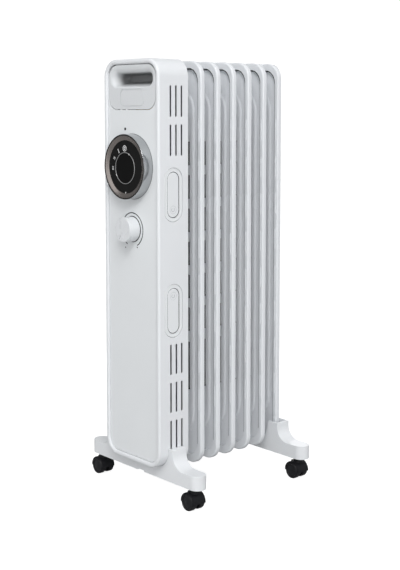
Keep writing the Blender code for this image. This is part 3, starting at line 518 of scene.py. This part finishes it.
def handle_bezel():
    """Inset round the finger pocket; the pocket's lip is a full quarter round."""
    front = 0.0026
    mouth, throat = (0.0505, 0.5842, 0.6152, 0.0150), (0.0430, 0.5872, 0.6058, 0.0090)
    back = (0.0365, 0.5925, 0.6040, 0.0050)
    half, low, high, corner = BEZEL

    def mix(one, two, share):
        return [a + (b - a) * share for a, b in zip(one, two)]

    loops = [facing_front(rounded(*BEZEL), front + 0.0006),
             facing_front(rounded(half - 0.00015, low + 0.00015, high - 0.00015, corner),
                          front + 0.00018),
             facing_front(rounded(half - 0.0006, low + 0.0006, high - 0.0006, corner - 0.0006),
                          front)]
    for i in range(9):
        turn = math.radians(90 * i / 8)
        size = mix(mouth, throat, math.sin(turn))
        loops.append(facing_front(rounded(*size), front + 0.0060 * (1 - math.cos(turn))))
    for share, depth in ((0.5, 0.0150), (0.90, 0.0235), (1.0, 0.0252)):
        loops.append(facing_front(rounded(*mix(throat, back, share)), depth))
    shrunk = (back[0] - 0.0016, back[1] + 0.0016, back[2] - 0.0016, back[3] - 0.0016)
    loops.append(facing_front(rounded(*shrunk), 0.0270))
    work = bmesh.new()
    rows = [[work.verts.new(p) for p in loop] for loop in loops]
    for one, two in zip(rows, rows[1:]):
        for i in range(len(one)):
            j = (i + 1) % len(one)
            work.faces.new((one[i], two[i], two[j], one[j]))
    work.faces.new(rows[-1])
    skin = to_mesh(work)
    side = 1 if skin.polygons[-1].normal.y > 0 else -1
    seat = prism(rounded(0.0269, 0.5590, 0.5830, 0.0084), at(front) - 0.002, at(front) + 0.0009)
    mesh = worked(skin, ("SOLIDIFY", 0.0018, side), ("DIFFERENCE", seat))
    piece("handle_surround", mesh, POCKET_WHITE, "heater", "white_plastic", "handle_bezel")

    outline = [(0.02645, 0.55945, 0.58255, 0.0080), (0.02645, 0.55945, 0.58255, 0.0080),
               (0.02625, 0.55965, 0.58235, 0.0078)]
    depths = (front + 0.0007, front + 0.0002, front)
    loops = [facing_front(rounded(*size), depth) for size, depth in zip(outline, depths)]
    piece("blank_badge", loft(loops), POCKET_WHITE, "heater", "white_plastic", "badge_plate")


def pilot_lamp():
    profile = [(0, 0.0021), (0.0007, 0.0022), (0.0012, 0.0025), (0.0014, 0.0029),
               (0.0021, 0.0029), (0.0021, 0.00297), (0.0014, 0.00297), (0.0014, 0.0120),
               (0, 0.0120)]
    piece("pilot_lens", lathe(profile, 32), EDGE_BLACK, "heater", "black_plastic", "pilot_lamp",
          place=(LAMP_X, FRONT_Y, LAMP_Z))


def inlet_bush():
    profile = [(0.0040, -0.0040), (0.0052, -0.0040), (0.0068, -0.0032), (0.0083, -0.0014),
               (0.0085, -0.0003), (0.0065, -0.0003), (0.0065, 0.0065), (0.0040, 0.0065)]
    mesh = lathe(profile, 48, closed=True)
    moved(mesh, Matrix.Rotation(-math.pi / 2, 4, "Z"))
    piece("inlet_grommet", mesh, CASTER_BLACK, "heater", "black_plastic", "cord_inlet_bush",
          place=(-HALF, at(HOOK_DEPTH), INLET_Z))


# ---------------------------------------------------------------- controls


def flat_ring(centre, outer, inner, depth, start=0, end=360, steps=72):
    """A thin flat ring or arc, for print and for painted shade, angles clockwise from the top."""
    full = end - start >= 360
    work = bmesh.new()
    rows = []
    for i in range(steps + (0 if full else 1)):
        a = math.radians(start + (end - start) * i / steps)
        rows.append([work.verts.new((centre[0] + r * math.sin(a), depth - h,
                                     centre[1] + r * math.cos(a)))
                     for r, h in ((outer, 0), (outer, PRINT_HEIGHT), (inner, PRINT_HEIGHT),
                                  (inner, 0))])
    pairs = list(zip(rows, rows[1:])) + ([(rows[-1], rows[0])] if full else [])
    for one, two in pairs:
        for i in range(4):
            j = (i + 1) % 4
            work.faces.new((one[i], one[j], two[j], two[i]))
    if not full:
        work.faces.new(rows[0])
        work.faces.new(rows[-1])
    return to_mesh(work)


def bar(centre, width, height, depth, angle):
    """A thin flat bar for print and for painted highlights, turned clockwise by an angle."""
    outline = rounded(width / 2, -height / 2, height / 2, width * 0.2, 3)
    mesh = prism(outline, depth - PRINT_HEIGHT, depth)
    return moved(mesh, Matrix.Rotation(math.radians(angle), 4, "Y"),
                 Matrix.Translation((centre[0], 0, centre[1])))


def power_dial():
    place = (0, FRONT_Y, DIAL_Z)
    face, disc = -0.0123, -0.0094
    back = PANEL_DEPTH - 0.0003
    collar = [(0.0452, face + 0.0006), (0.0454, face + 0.0003), (0.0457, face + 0.0003),
              (0.0459, face + 0.0006), (0.0460, face + 0.0012), (0.0460, back - 0.0005),
              (0.0457, back), (0.0430, back), (0.0430, disc + 0.0048), (0.0452, disc + 0.0048)]
    piece("dial_collar", lathe(collar, 128, closed=True), DIAL_SILVER, "power_dial", "gunmetal",
          "dial_ring", place=place)
    edge = [(0.0440, face + 0.0004), (0.0442, face + 0.0001), (0.0444, face), (0.0448, face),
            (0.0450, face + 0.0001), (0.0452, face + 0.0005), (0.0452, disc + 0.0046),
            (0.0440, disc + 0.0046)]
    piece("dial_edge", lathe(edge, 128, closed=True), EDGE_BLACK, "power_dial", "gunmetal",
          place=place)
    ring = [(0.0374, disc + 0.0004), (0.0374, disc - 0.0001), (0.0377, disc - 0.0004),
            (0.0388, disc - 0.0008), (0.0399, disc - 0.0012), (0.0402, disc - 0.0014),
            (0.0418, disc - 0.0021), (0.0434, disc - 0.0024), (0.0440, disc - 0.0024),
            (0.0440, disc + 0.0020), (0.0400, disc + 0.0020)]
    piece("dial_bevel", lathe(ring, 128, closed=True), DIAL_BRONZE, "power_dial", "gunmetal",
          place=place)

    bore = 0.0033
    plate = [(0, disc), (0.0371, disc), (0.0373, disc + 0.0002), (0.0373, disc + 0.0049),
             (0.0426, disc + 0.0049), (0.0426, disc + 0.0070), (0.0070, disc + 0.0070),
             (0.0070, back - 0.0003), (bore, back - 0.0003), (bore, disc + 0.0032),
             (0, disc + 0.0032)]
    middle = (-0.0008, -0.0019)
    well = lathe([(0, -0.001), (0.0213, -0.001), (0.0213, 0.0005), (0, 0.0005)], 96)
    mesh = worked(lathe(plate, 128),
                  ("DIFFERENCE", shifted(well, middle[0], disc, middle[1])))
    piece("dial_face", mesh, DIAL_BLACK, "power_dial", "black_plastic", "dial_disc", place=place)
    inset = lathe([(0, 0.0002), (0.0206, 0.0002), (0.0210, 0.0004), (0.0210, 0.0005),
                   (0, 0.0005)], 96)
    piece("dial_inset", shifted(inset, middle[0], disc, middle[1]), DIAL_INSET, "power_dial",
          "black_plastic", place=place)
    light = lathe([(0.0214, 0), (0.0215, -0.0003), (0.0219, -0.0004), (0.0223, -0.0003),
                   (0.0224, 0)], 128, closed=True)
    piece("dial_light_ring", shifted(light, middle[0], disc, middle[1]), RING_SILVER,
          "power_dial", "gunmetal", place=place)

    def spot(angle, radius):
        a = math.radians(angle)
        return middle[0] + radius * math.sin(a), middle[1] + radius * math.cos(a)

    marks = [flat_ring(spot(-1.2, 0.0277), 0.0043, 0.0033, disc)]
    oval = flat_ring((0, 0), 0.0018, 0.0008, disc, steps=32)
    across, up = spot(-1.2, 0.0277)
    marks.append(moved(oval, Matrix.Diagonal((1, 1, 1.35, 1)),
                       Matrix.Translation((across, 0, up))))
    for count, angle in ((1, -31.7), (2, -61.5), (3, -91.7)):
        centre = spot(angle, 0.0278)
        turn = math.radians(angle)
        for i in range(count):
            step = (i - (count - 1) / 2) * 0.0019
            shift = (centre[0] + step * math.cos(turn), centre[1] - step * math.sin(turn))
            marks.append(bar(shift, 0.0011, 0.0058, disc, angle))
        for end in (-1, 1):
            reach = spot(angle, 0.0278 + end * 0.0027)
            marks.append(bar(reach, 0.0012 + 0.0019 * count, 0.0009, disc, angle))
    piece("dial_numerals", together(marks), PRINT_AND_GLINT_WHITE, "power_dial", "black_plastic",
          place=place)
    pointer_and_glints = [bar((0.0006, -0.0364), 0.0014, 0.0022, disc, 0)]
    # Two small white squares on the light ring are painted highlights; they turn with the dial.
    pointer_and_glints += [bar(spot(angle, 0.0219), 0.0018, 0.0018, disc - 0.0004, angle)
             for angle in (26, -118)]
    piece("dial_mark_and_glints", together(pointer_and_glints), PRINT_AND_GLINT_WHITE, "power_dial", "black_plastic",
          place=place)
    # A flat grey ring of painted shadow stands for the gap between the collar and the panel.
    gap = flat_ring((0, DIAL_Z), 0.0466, 0.0455, at(PANEL_DEPTH), steps=128)
    piece("dial_gap", gap, GAP_SHADOW_GREY, "heater", "black_plastic")


def thermostat_knob():
    place = (0, FRONT_Y, KNOB_Z)
    face, back, radius, fillet = -0.0153, PANEL_DEPTH - 0.0003, 0.0177, 0.0009
    profile = [(0, face + 0.0002), (0.0060, face + 0.00015), (0.0120, face + 0.00005)]
    for i in range(6):
        a = math.radians(18 * i)
        profile.append((radius - fillet * (1 - math.sin(a)), face + fillet * (1 - math.cos(a))))
    profile += [(radius, back - 0.0006), (radius - 0.0003, back), (0.0033, back),
                (0.0033, face + 0.0050), (0, face + 0.0050)]
    groove = prism(rounded(0.0006, -0.0034, 0.0034, 0.0006 - 1e-6, 5), -0.002, 0.0010)
    moved(groove, Matrix.Rotation(math.radians(-152), 4, "Y"),
          Matrix.Translation((-0.0059, face, -0.0112)))
    mesh = worked(lathe(profile, 96), ("DIFFERENCE", groove))
    piece("knob_cap", mesh, KNOB_WHITE, "thermostat_knob", "white_plastic", "thermostat_knob",
          place=place)

    depth = at(PANEL_DEPTH)
    # Print for the scale arc and its two dots, and a full ring of painted shade for the gap round the
    # knob's base.
    print_and_gap_shade = [flat_ring((-0.0006, 0.3847), 0.0248, 0.0234, depth, -152, 152, 90),
              flat_ring((0, KNOB_Z), 0.0187, 0.0172, depth, steps=96)]
    for x, z in ((-0.0166, 0.3580), (0.0106, 0.3604)):
        dot = [(0, -PRINT_HEIGHT), (0.0010, -PRINT_HEIGHT), (0.0010, 0), (0, 0)]
        print_and_gap_shade.append(shifted(lathe(dot, 20), x, depth, z))
    piece("knob_scale_and_gap_shade", together(print_and_gap_shade), PRINT_AND_SHADE_GREY, "heater", "black_plastic")


def cord_hook(name, up):
    """Escutcheon and tab; up is 1 where the tab's pin is at its lower end."""
    z, y, side = HOOK_Z[name], at(HOOK_DEPTH), HALF
    tab, plate, wall = (0.0212, 0.0640), (0.0321, 0.0747), 0.0020
    node = f"cord_hook_{name}"

    def loop(size, inset, x):
        return facing_side(obround(size[0] - 2 * inset, size[1] - 2 * inset, y, z, 16), x)

    section = [(tab, -wall, side - 0.0170), (tab, -wall, side - 0.0022),
               (plate, 0.0, side - 0.0022), (plate, 0.0, side - 0.0006),
               (plate, 0.0002, side - 0.0002), (plate, 0.0006, side),
               (plate, 0.0016, side - 0.0002), (plate, 0.0034, side - 0.0005),
               (tab, -0.0012, side - 0.0003), (tab, -0.0005, side - 0.0001),
               (tab, -0.0001, side - 0.0004), (tab, 0.0, side - 0.0010),
               (tab, 0.0, side - 0.0150)]
    ring = piece(f"hook_{name}_escutcheon", loft([loop(*s) for s in section]), HOOK_WHITE,
                 "heater", "white_plastic", f"{node}_well")

    gap = 0.0006
    section = [(0.0008 + gap, side - 0.0050), (gap, side - 0.0042), (gap, side - 0.0013),
               (0.0001 + gap, side - 0.0008), (0.0004 + gap, side - 0.0005),
               (0.0009 + gap, side - 0.0004)]
    body = loft([loop(tab, inset, x) for inset, x in section])
    pivot = z - up * (tab[1] / 2 - 0.0112)
    ball = bmesh.new()
    bmesh.ops.create_uvsphere(ball, u_segments=64, v_segments=48, radius=0.0300)
    dimple = shifted(to_mesh(ball), side - 0.0004 + 0.0300 - 0.0006, y, pivot)
    bore = shifted(lathe([(0, -0.02), (0.0016, -0.02), (0.0016, 0.02), (0, 0.02)], 24),
                   side - 0.0028, y, pivot)
    mesh = worked(body, ("DIFFERENCE", dimple), ("DIFFERENCE", bore))
    flap = piece(f"hook_{name}_tab", mesh, HOOK_WHITE, node, "white_plastic", node)
    # The walls of the seam between the two are painted with dark shade.
    for part, edge in ((ring, 0.0005), (flap, 0.0008)):
        part.data.materials.append(PRINT_AND_SHADE_GREY)
        for face in part.data.polygons:
            face.material_index = int(face.center.x < side - edge and abs(face.normal.x) < 0.3)
    swirl = together([flat_ring((0, 0), 0.0030, 0.0021, 0, 40, 330, 40),
                      flat_ring((0, 0), 0.0060, 0.0053, -0.00035, steps=56)])
    moved(swirl, Matrix.Rotation(math.pi / 2, 4, "Z"),
          Matrix.Translation((side - 0.00090, y, pivot)))
    piece(f"hook_{name}_mark", swirl, MARK_GREY, node, "white_plastic")


# ---------------------------------------------------------------- radiator


def fin_mesh(half, z0, z1, corner):
    """One pressed fin with its folded rim, beads, oil channels and air slots.
    y is measured from the rear edge of the rim."""
    side, top = 0.0074, 0.0110
    fillet = 0.0022

    def outer(inset):
        return half - inset, z0 + inset, z1 - inset, corner - inset

    def inner(inset):
        return half - side - inset, z0 + top + inset, z1 - top - inset, corner - 0.0030 - inset

    def fold(inset):
        return half - side - inset, z0 + top + inset, z1 - top - inset, corner - 0.0044 - inset

    def chamber(inset):
        return 0.0440 - inset, 0.0790 + inset, 0.5860 - inset, 0.0340 - inset

    section = [(chamber(0.0048), 0.0025), (chamber(0.0030), 0.0023), (chamber(0.0014), 0.0013),
               (chamber(0.0002), -0.0004), (chamber(-0.0010), -0.0012), (inner(0.0008), -0.0012),
               (inner(0.0), -0.0005), (inner(-0.0007), 0.0), (outer(0.0011), 0.0),
               (outer(0.0003), -0.0003), (outer(0.0), -0.0011)]
    for i in range(9):
        a = math.radians(11.25 * i)
        section.append((outer(fillet * (1 - math.cos(a))), -0.0053 - fillet * math.sin(a)))
    section += [(fold(-0.0009), -0.00748), (inner(0.0), -0.00744), (inner(0.0001), -0.0068),
                (inner(0.0002), CREVICE), (inner(0.0013), CREVICE), (inner(0.0015), -0.0030),
                (chamber(-0.0010), -0.0030), (chamber(0.0), -0.0032),
                (chamber(0.0012), -0.0037), (chamber(0.0024), -0.0042),
                (chamber(0.0036), -0.0044)]
    body = loft([[(x, y, z) for x, z in rounded(*size, 10)] for size, y in section])

    grooves, slots, beads = [], [], []
    for sign in (-1, 1):
        x = sign * SLOT_X
        outline = rounded(0.0035, 0.1400, 0.5165, 0.0034, 6, x)
        narrow = rounded(0.0030, 0.1408, 0.5157, 0.0029, 6, x)
        grooves.append(loft([[(u, y, v) for u, v in points]
                             for points, y in ((outline, -0.0090), (outline, -0.0047),
                                               (narrow, -0.0038))]))
        grooves.append(loft([[(u, y, v) for u, v in points]
                             for points, y in ((outline, 0.0050), (outline, 0.0024),
                                               (narrow, 0.0002))]))
        spans = [(0.5088 - 0.0345 - i * 0.0481, 0.5088 - i * 0.0481) for i in range(6)]
        for low, high in spans + [(0.1472, 0.2182)]:
            slots.append(prism(rounded(0.0028, low, high, 0.0026, 5, x), -0.02, 0.02))
        for i in range(10):
            centre = 0.5250 - i * 0.0552
            if centre - 0.016 < z0 + 0.030:
                break
            capsule = [(0, -0.0160)]
            capsule += [(0.0011 * math.sin(a), -0.0149 - 0.0011 * math.cos(a))
                        for a in (math.radians(30 * k) for k in range(1, 4))]
            capsule += [(r, -d) for r, d in reversed(capsule)]
            bead = moved(lathe(capsule, 20), Matrix.Rotation(math.pi / 2, 4, "X"))
            beads.append(shifted(bead, sign * (half - 0.0034), -0.0079, centre))
    return worked(body, ("DIFFERENCE", together(grooves)), ("DIFFERENCE", together(slots)),
                  ("DIFFERENCE", together(beads)))


def finish_fin(number, mesh, y):
    """Show one fin. The folds at its top and the walls of its air slots are
    painted dark as shadow, the lip of its fold grey as shade, and fins 1 to 6
    also take painted shade in their middles."""
    finish = FIN_ENAMEL if number == 7 else FIN_SHADED
    fin = piece(f"fin_{number}_pressing", mesh, finish, "heater", "white_enamelled_steel",
                f"fin_{number}", place=(0, y, 0))
    fin.data.materials.append(CREVICE_SHADOW)
    fin.data.materials.append(FOLD_LIP_SHADE)
    for face in fin.data.polygons:
        shadow = abs(face.center.y - CREVICE) < 0.0001
        lip = abs(face.center.y - FOLD_LIP) < 0.000012
        slot = abs(abs(face.center.x) - SLOT_X) < 0.0030 and abs(face.normal.y) < 0.2
        if (shadow or lip) and face.center.z > 0.58 or slot and 0.13 < face.center.z < 0.53:
            face.material_index = 1
        elif lip and face.center.z > 0.10:
            face.material_index = 2


def fins():
    finish_fin(1, fin_mesh(0.0597, 0.0526, 0.6219, 0.0220), at(HOUSING_DEPTH) - 0.0003)
    common = fin_mesh(0.0627, 0.0417, 0.6230, 0.0230)
    for number in range(2, 8):
        finish_fin(number, common.copy(), at(HOUSING_DEPTH + (number - 1) * FIN_PITCH))


def galleries():
    """Tubes with a welded collar against each side of every fin."""
    for name, z in (("top_gallery", 0.5605), ("bottom_gallery", 0.1045)):
        profile = [(0, 0.0260), (0.0180, 0.0260)]
        for number in range(7):
            rear = HOUSING_DEPTH + number * FIN_PITCH
            for depth in (rear - 0.0064, rear + 0.0026):
                front = depth < rear
                if number == 6 and not front:
                    continue
                near, far = (depth - 0.0035, depth) if front else (depth, depth + 0.0035)
                profile += [(0.0180, near), (0.0205 if not front else 0.0184, near + 0.0003),
                            (0.0184 if not front else 0.0205, far - 0.0003), (0.0180, far)]
        profile += [(0.0180, 0.2374), (0, 0.2374)]
        piece(f"{name}_tube", lathe(profile, 64), PIPE_ENAMEL, "heater", "white_enamelled_steel",
              name, place=(0, FRONT_Y, z))


# ---------------------------------------------------------------- feet


def foot_blank(depth, cradle, edge):
    """Bar foot with half round ends, raised collars and rounded edges."""
    arm = 0.0730 + 0.0200
    right = [(FOOT_HALF_LENGTH + 0.01, 0.0319), (FOOT_HALF_LENGTH + 0.01, 0.0522)]
    right += arc(arm, 0.0722, 0.0200, 270, 180, 12)
    right += [(0.0730, 0.0785)] + cradle
    left = [(-x, z) for x, z in reversed(right)]
    half = FOOT_WIDTH / 2
    body = prism(right + left, at(depth) - half - 0.01, at(depth) + half + 0.01)
    plan = [(v, u + at(depth)) for u, v in obround(FOOT_WIDTH, 2 * FOOT_HALF_LENGTH, 0, 0, 16)]
    keep = prism(plan, 0.0, 0.12, "Z")
    return worked(body, ("INTERSECT", keep), ("BEVEL", edge, 4))


def foot_cuts(depth, stud_depth):
    y = at(stud_depth)

    def hole(radius, low, high, x, y):
        mesh = lathe([(0, low), (radius, low), (radius, high), (0, high)], 40)
        return moved(mesh, Matrix.Rotation(math.pi / 2, 4, "X"), Matrix.Translation((x, y, 0)))

    pockets = [hole(0.0072, 0.02, 0.0388, 0, y)]
    pockets += [hole(0.0033, 0.02, 0.0463, side * SWIVEL_X, at(depth)) for side in (-1, 1)]
    stud = hole(0.0033, 0.03, 0.10, 0, y)
    notch = prism(rounded(0.0076, 0.0299, 0.0339, 0.0005, 3), at(depth) - 0.02, at(depth) + 0.02)
    return (("DIFFERENCE", together(pockets)), ("DIFFERENCE", stud), ("DIFFERENCE", notch))


def feet():
    clear = 0.00035
    half, low, corner = HALF + clear, HOUSING_Z[0] - clear, CORNER + clear
    cradle = [(half, 0.0785)] + arc(half - corner, low + corner, corner, 0, -90, 16)
    depth = FOOT_DEPTHS[0]
    mesh = worked(foot_blank(depth, cradle, 0.0014), *foot_cuts(depth, depth))
    piece("front_foot_bar", mesh, FOOT_WHITE, "heater", "white_plastic", "front_foot")

    depth = FOOT_DEPTHS[1]
    brow = [(0.0540, 0.0785), (0.0512, 0.0675), (0.0480, 0.0585), (0.0448, 0.0532),
            (0.0415, 0.0497), (0.0380, 0.0470), (0.0340, 0.0450)]
    fin = rounded(0.0627 + clear, 0.0417 - clear, 0.30, 0.0230 + clear, 12)
    slot = prism(fin, at(FIN_BACK - 0.0075) - clear, at(FIN_BACK) + clear)
    inside, deep = 0.0730 - 0.0022, FOOT_WIDTH - 2 * 0.0022
    sockets = []
    for sign in (-1, 1):
        middle = sign * (inside + 0.0500) / 2
        outline = rounded(deep / 2, -(inside - 0.0500) / 2, (inside - 0.0500) / 2, 0.0020, 5)
        outline = [(v + middle, u + at(depth)) for u, v in outline]
        sockets.append(prism(outline, 0.0580, 0.10, "Z"))
    mesh = worked(foot_blank(depth, brow, 0.0012), ("DIFFERENCE", slot),
                  ("DIFFERENCE", together(sockets)),
                  *foot_cuts(depth, FIN_BACK - 0.00375))
    piece("rear_foot_bar", mesh, FOOT_WHITE, "heater", "white_plastic", "rear_foot")


# ---------------------------------------------------------------- casters


def caster_body():
    """Hood, web, neck and stem about the swivel axis."""
    wheel_x, axle_z = -CASTER_TRAIL, AXLE_Z
    half_web, half_hood = 0.0026, 0.0112
    web = arc(wheel_x, axle_z, 0.0090, 180, 360, 20) + [(wheel_x + 0.0090, 0.0250),
                                                         (wheel_x - 0.0090, 0.0250)]
    body = prism(web, -half_web, half_web)
    band = arc(wheel_x, axle_z, 0.0139, -6, 186, 32)
    band += arc(wheel_x, axle_z, 0.01255, 186, -6, 32)
    hood = worked(prism(band, -half_hood, half_hood), ("BEVEL", 0.0004, 2))
    neck = [(0, 0.0243), (0.0076, 0.0243), (0.0070, 0.0258), (0.0062, 0.0276), (0.0058, 0.0296),
            (0.0058, 0.0314), (0.0056, 0.0316), (0.0030, 0.0316), (0.0030, 0.0460), (0, 0.0460)]
    neck = moved(lathe([(r, -z) for r, z in neck], 40), Matrix.Rotation(-math.pi / 2, 4, "X"))
    bore = shifted(lathe([(0, -0.02), (0.0021, -0.02), (0.0021, 0.02), (0, 0.02)], 24),
                   wheel_x, 0, axle_z)
    return worked(body, ("UNION", hood), ("UNION", neck), ("DIFFERENCE", bore))


def wheel_mesh(front):
    """Twin caster wheel with a dished hub, a raised rim line and a soft tread."""
    w, r = 0.0046, 0.0120
    profile = [(0, -w + 0.0004), (0.0028, -w + 0.0004), (0.0034, -w + 0.0007),
               (0.0090, -w + 0.0012), (0.0094, -w + 0.0008), (0.0097, -w + 0.0002),
               (0.0103, -w), (0.0110, -w + 0.0002), (0.0116, -w + 0.0008), (r, -w + 0.0018),
               (r, w - 0.0014), (r - 0.0003, w - 0.0006), (r - 0.0010, w), (0.0021, w),
               (0.0021, -w + 0.0020), (0, -w + 0.0020)]
    mesh = lathe(profile, 64)
    return mesh if front else moved(mesh, Matrix.Rotation(math.pi, 4, "Z"))


def casters():
    for side, way in ((1, "right"), (-1, "left")):
        for depth, row in zip(FOOT_DEPTHS, ("front", "rear")):
            name = f"caster_{row}_{way}"
            piece(f"{name}_hood", caster_body(), CASTER_BLACK, name, "black_plastic",
                  f"{name}_body", place=(side * SWIVEL_X, at(depth), 0))
            x = side * SWIVEL_X - CASTER_TRAIL
            for label, step in (("front", -0.0075), ("rear", 0.0075)):
                piece(f"{name}_{label}_disc", wheel_mesh(label == "front"), HUB_BLACK,
                      f"{name}_wheels", "black_plastic", f"{name}_wheel_{label}",
                      place=(x, at(depth) + step, AXLE_Z))
            axle = lathe([(0, -0.0099), (0.0016, -0.0099), (0.00175, -0.0097), (0.00175, 0.0097),
                          (0.0016, 0.0099), (0, 0.0099)], 32)
            piece(f"{name}_axle_pin", axle, ZINC, f"{name}_wheels", "zinc_plated_steel",
                  f"{name}_axle", place=(x, at(depth), AXLE_Z))


# ---------------------------------------------------------------- studio


def camera():
    """The photograph's view: a long lens a little above the floor."""
    turn, lift = math.radians(48.8545), math.radians(4.9534)
    back = Vector((math.sin(turn) * math.cos(lift), -math.cos(turn) * math.cos(lift),
                   math.sin(lift)))
    data = bpy.data.cameras.new("camera")
    data.sensor_width = 36
    data.lens = 36 * 1098.62 / 570
    data.shift_y = -(285 - 203.77) / 570
    obj = bpy.data.objects.new("camera", data)
    obj.location = Vector((0.034, 0.1 + FRONT_Y, 0.4183)) + back * 1.5919
    obj.rotation_mode = "QUATERNION"
    obj.rotation_quaternion = (-back).to_track_quat("-Z", "Y")
    bpy.context.scene.collection.objects.link(obj)
    bpy.context.scene.camera = obj


def softbox(name, place, aim, size, power):
    data = bpy.data.lights.new(name, "AREA")
    data.shape = "RECTANGLE"
    data.size, data.size_y = size
    data.energy = power
    obj = bpy.data.objects.new(name, data)
    obj.location = place
    obj.rotation_mode = "QUATERNION"
    obj.rotation_quaternion = (Vector(aim) - Vector(place)).to_track_quat("-Z", "Y")
    bpy.context.scene.collection.objects.link(obj)


def studio():
    """White to the camera; a bright sky and a dimmer ground to everything else."""
    world = bpy.data.worlds.new("studio")
    bpy.context.scene.world = world
    world.use_nodes = True
    tree = world.node_tree

    def link(one, two):
        tree.links.new(one, two)

    def spread(value, low, high, out_low, out_high):
        made = tree.nodes.new("ShaderNodeMapRange")
        made.interpolation_type = "SMOOTHSTEP"
        link(value, made.inputs["Value"])
        for name, number in (("From Min", low), ("From Max", high), ("To Min", out_low),
                             ("To Max", out_high)):
            made.inputs[name].default_value = number
        return made.outputs["Result"]

    around = tree.nodes.new("ShaderNodeSeparateXYZ")
    link(tree.nodes.new("ShaderNodeTexCoord").outputs["Generated"], around.inputs[0])
    product = tree.nodes.new("ShaderNodeMath")
    product.operation = "MULTIPLY"
    link(spread(around.outputs["Z"], -0.30, 0.35, GROUND, SKY), product.inputs[0])
    link(spread(around.outputs["X"], -0.8, 0.4, 0.55, 1.0), product.inputs[1])
    ambient = tree.nodes["Background"]
    ambient.inputs["Color"].default_value = (0.97, 0.985, 1.0, 1)
    link(product.outputs[0], ambient.inputs["Strength"])
    white = tree.nodes.new("ShaderNodeBackground")
    white.inputs["Color"].default_value = (1, 1, 1, 1)
    white.inputs["Strength"].default_value = 1.1
    seen = tree.nodes.new("ShaderNodeLightPath")
    mix = tree.nodes.new("ShaderNodeMixShader")
    link(seen.outputs["Is Camera Ray"], mix.inputs["Fac"])
    link(ambient.outputs["Background"], mix.inputs[1])
    link(white.outputs["Background"], mix.inputs[2])
    link(mix.outputs["Shader"], tree.nodes["World Output"].inputs["Surface"])

    floor = bmesh.new()
    bmesh.ops.create_circle(floor, cap_ends=True, segments=96, radius=7.0)
    mesh = to_mesh(floor)
    obj = bpy.data.objects.new("floor", mesh)
    bpy.context.scene.collection.objects.link(obj)
    paper = Shader("floor_paper", (0.48, 0.48, 0.48), 0.9, specular=0.0)
    paper.grain(300, 0.00002)
    paper.set("Emission Color", (1, 1, 1, 1))
    ray = paper.node("ShaderNodeLightPath")
    lift = paper.node("ShaderNodeMath")
    lift.operation = "MULTIPLY"
    paper.tree.links.new(ray.outputs["Is Camera Ray"], lift.inputs[0])
    lift.inputs[1].default_value = 0.86
    paper.tree.links.new(lift.outputs[0], paper.shader.inputs["Emission Strength"])
    mesh.materials.append(paper.material)

    softbox("key", (1.64, -1.46, 2.25), (0, 0, 0.30), (1.3, 1.3), 42)
    softbox("front_fill", (-0.9, -2.5, 0.9), (0, 0, 0.30), (1.8, 1.8), 9)
    softbox("right_fill", (2.2, -1.27, 0.5), (0, 0, 0.10), (1.6, 1.6), 13)
    softbox("back_fill", (-1.6, 2.4, 1.1), (0, 0, 0.30), (1.6, 1.6), 16)

    bpy.context.scene.view_settings.view_transform = "Standard"


control_housing()
front_panel()
handle_bezel()
pilot_lamp()
inlet_bush()
power_dial()
thermostat_knob()
cord_hook("upper", 1)
cord_hook("lower", -1)
fins()
galleries()
feet()
casters()
camera()
studio()
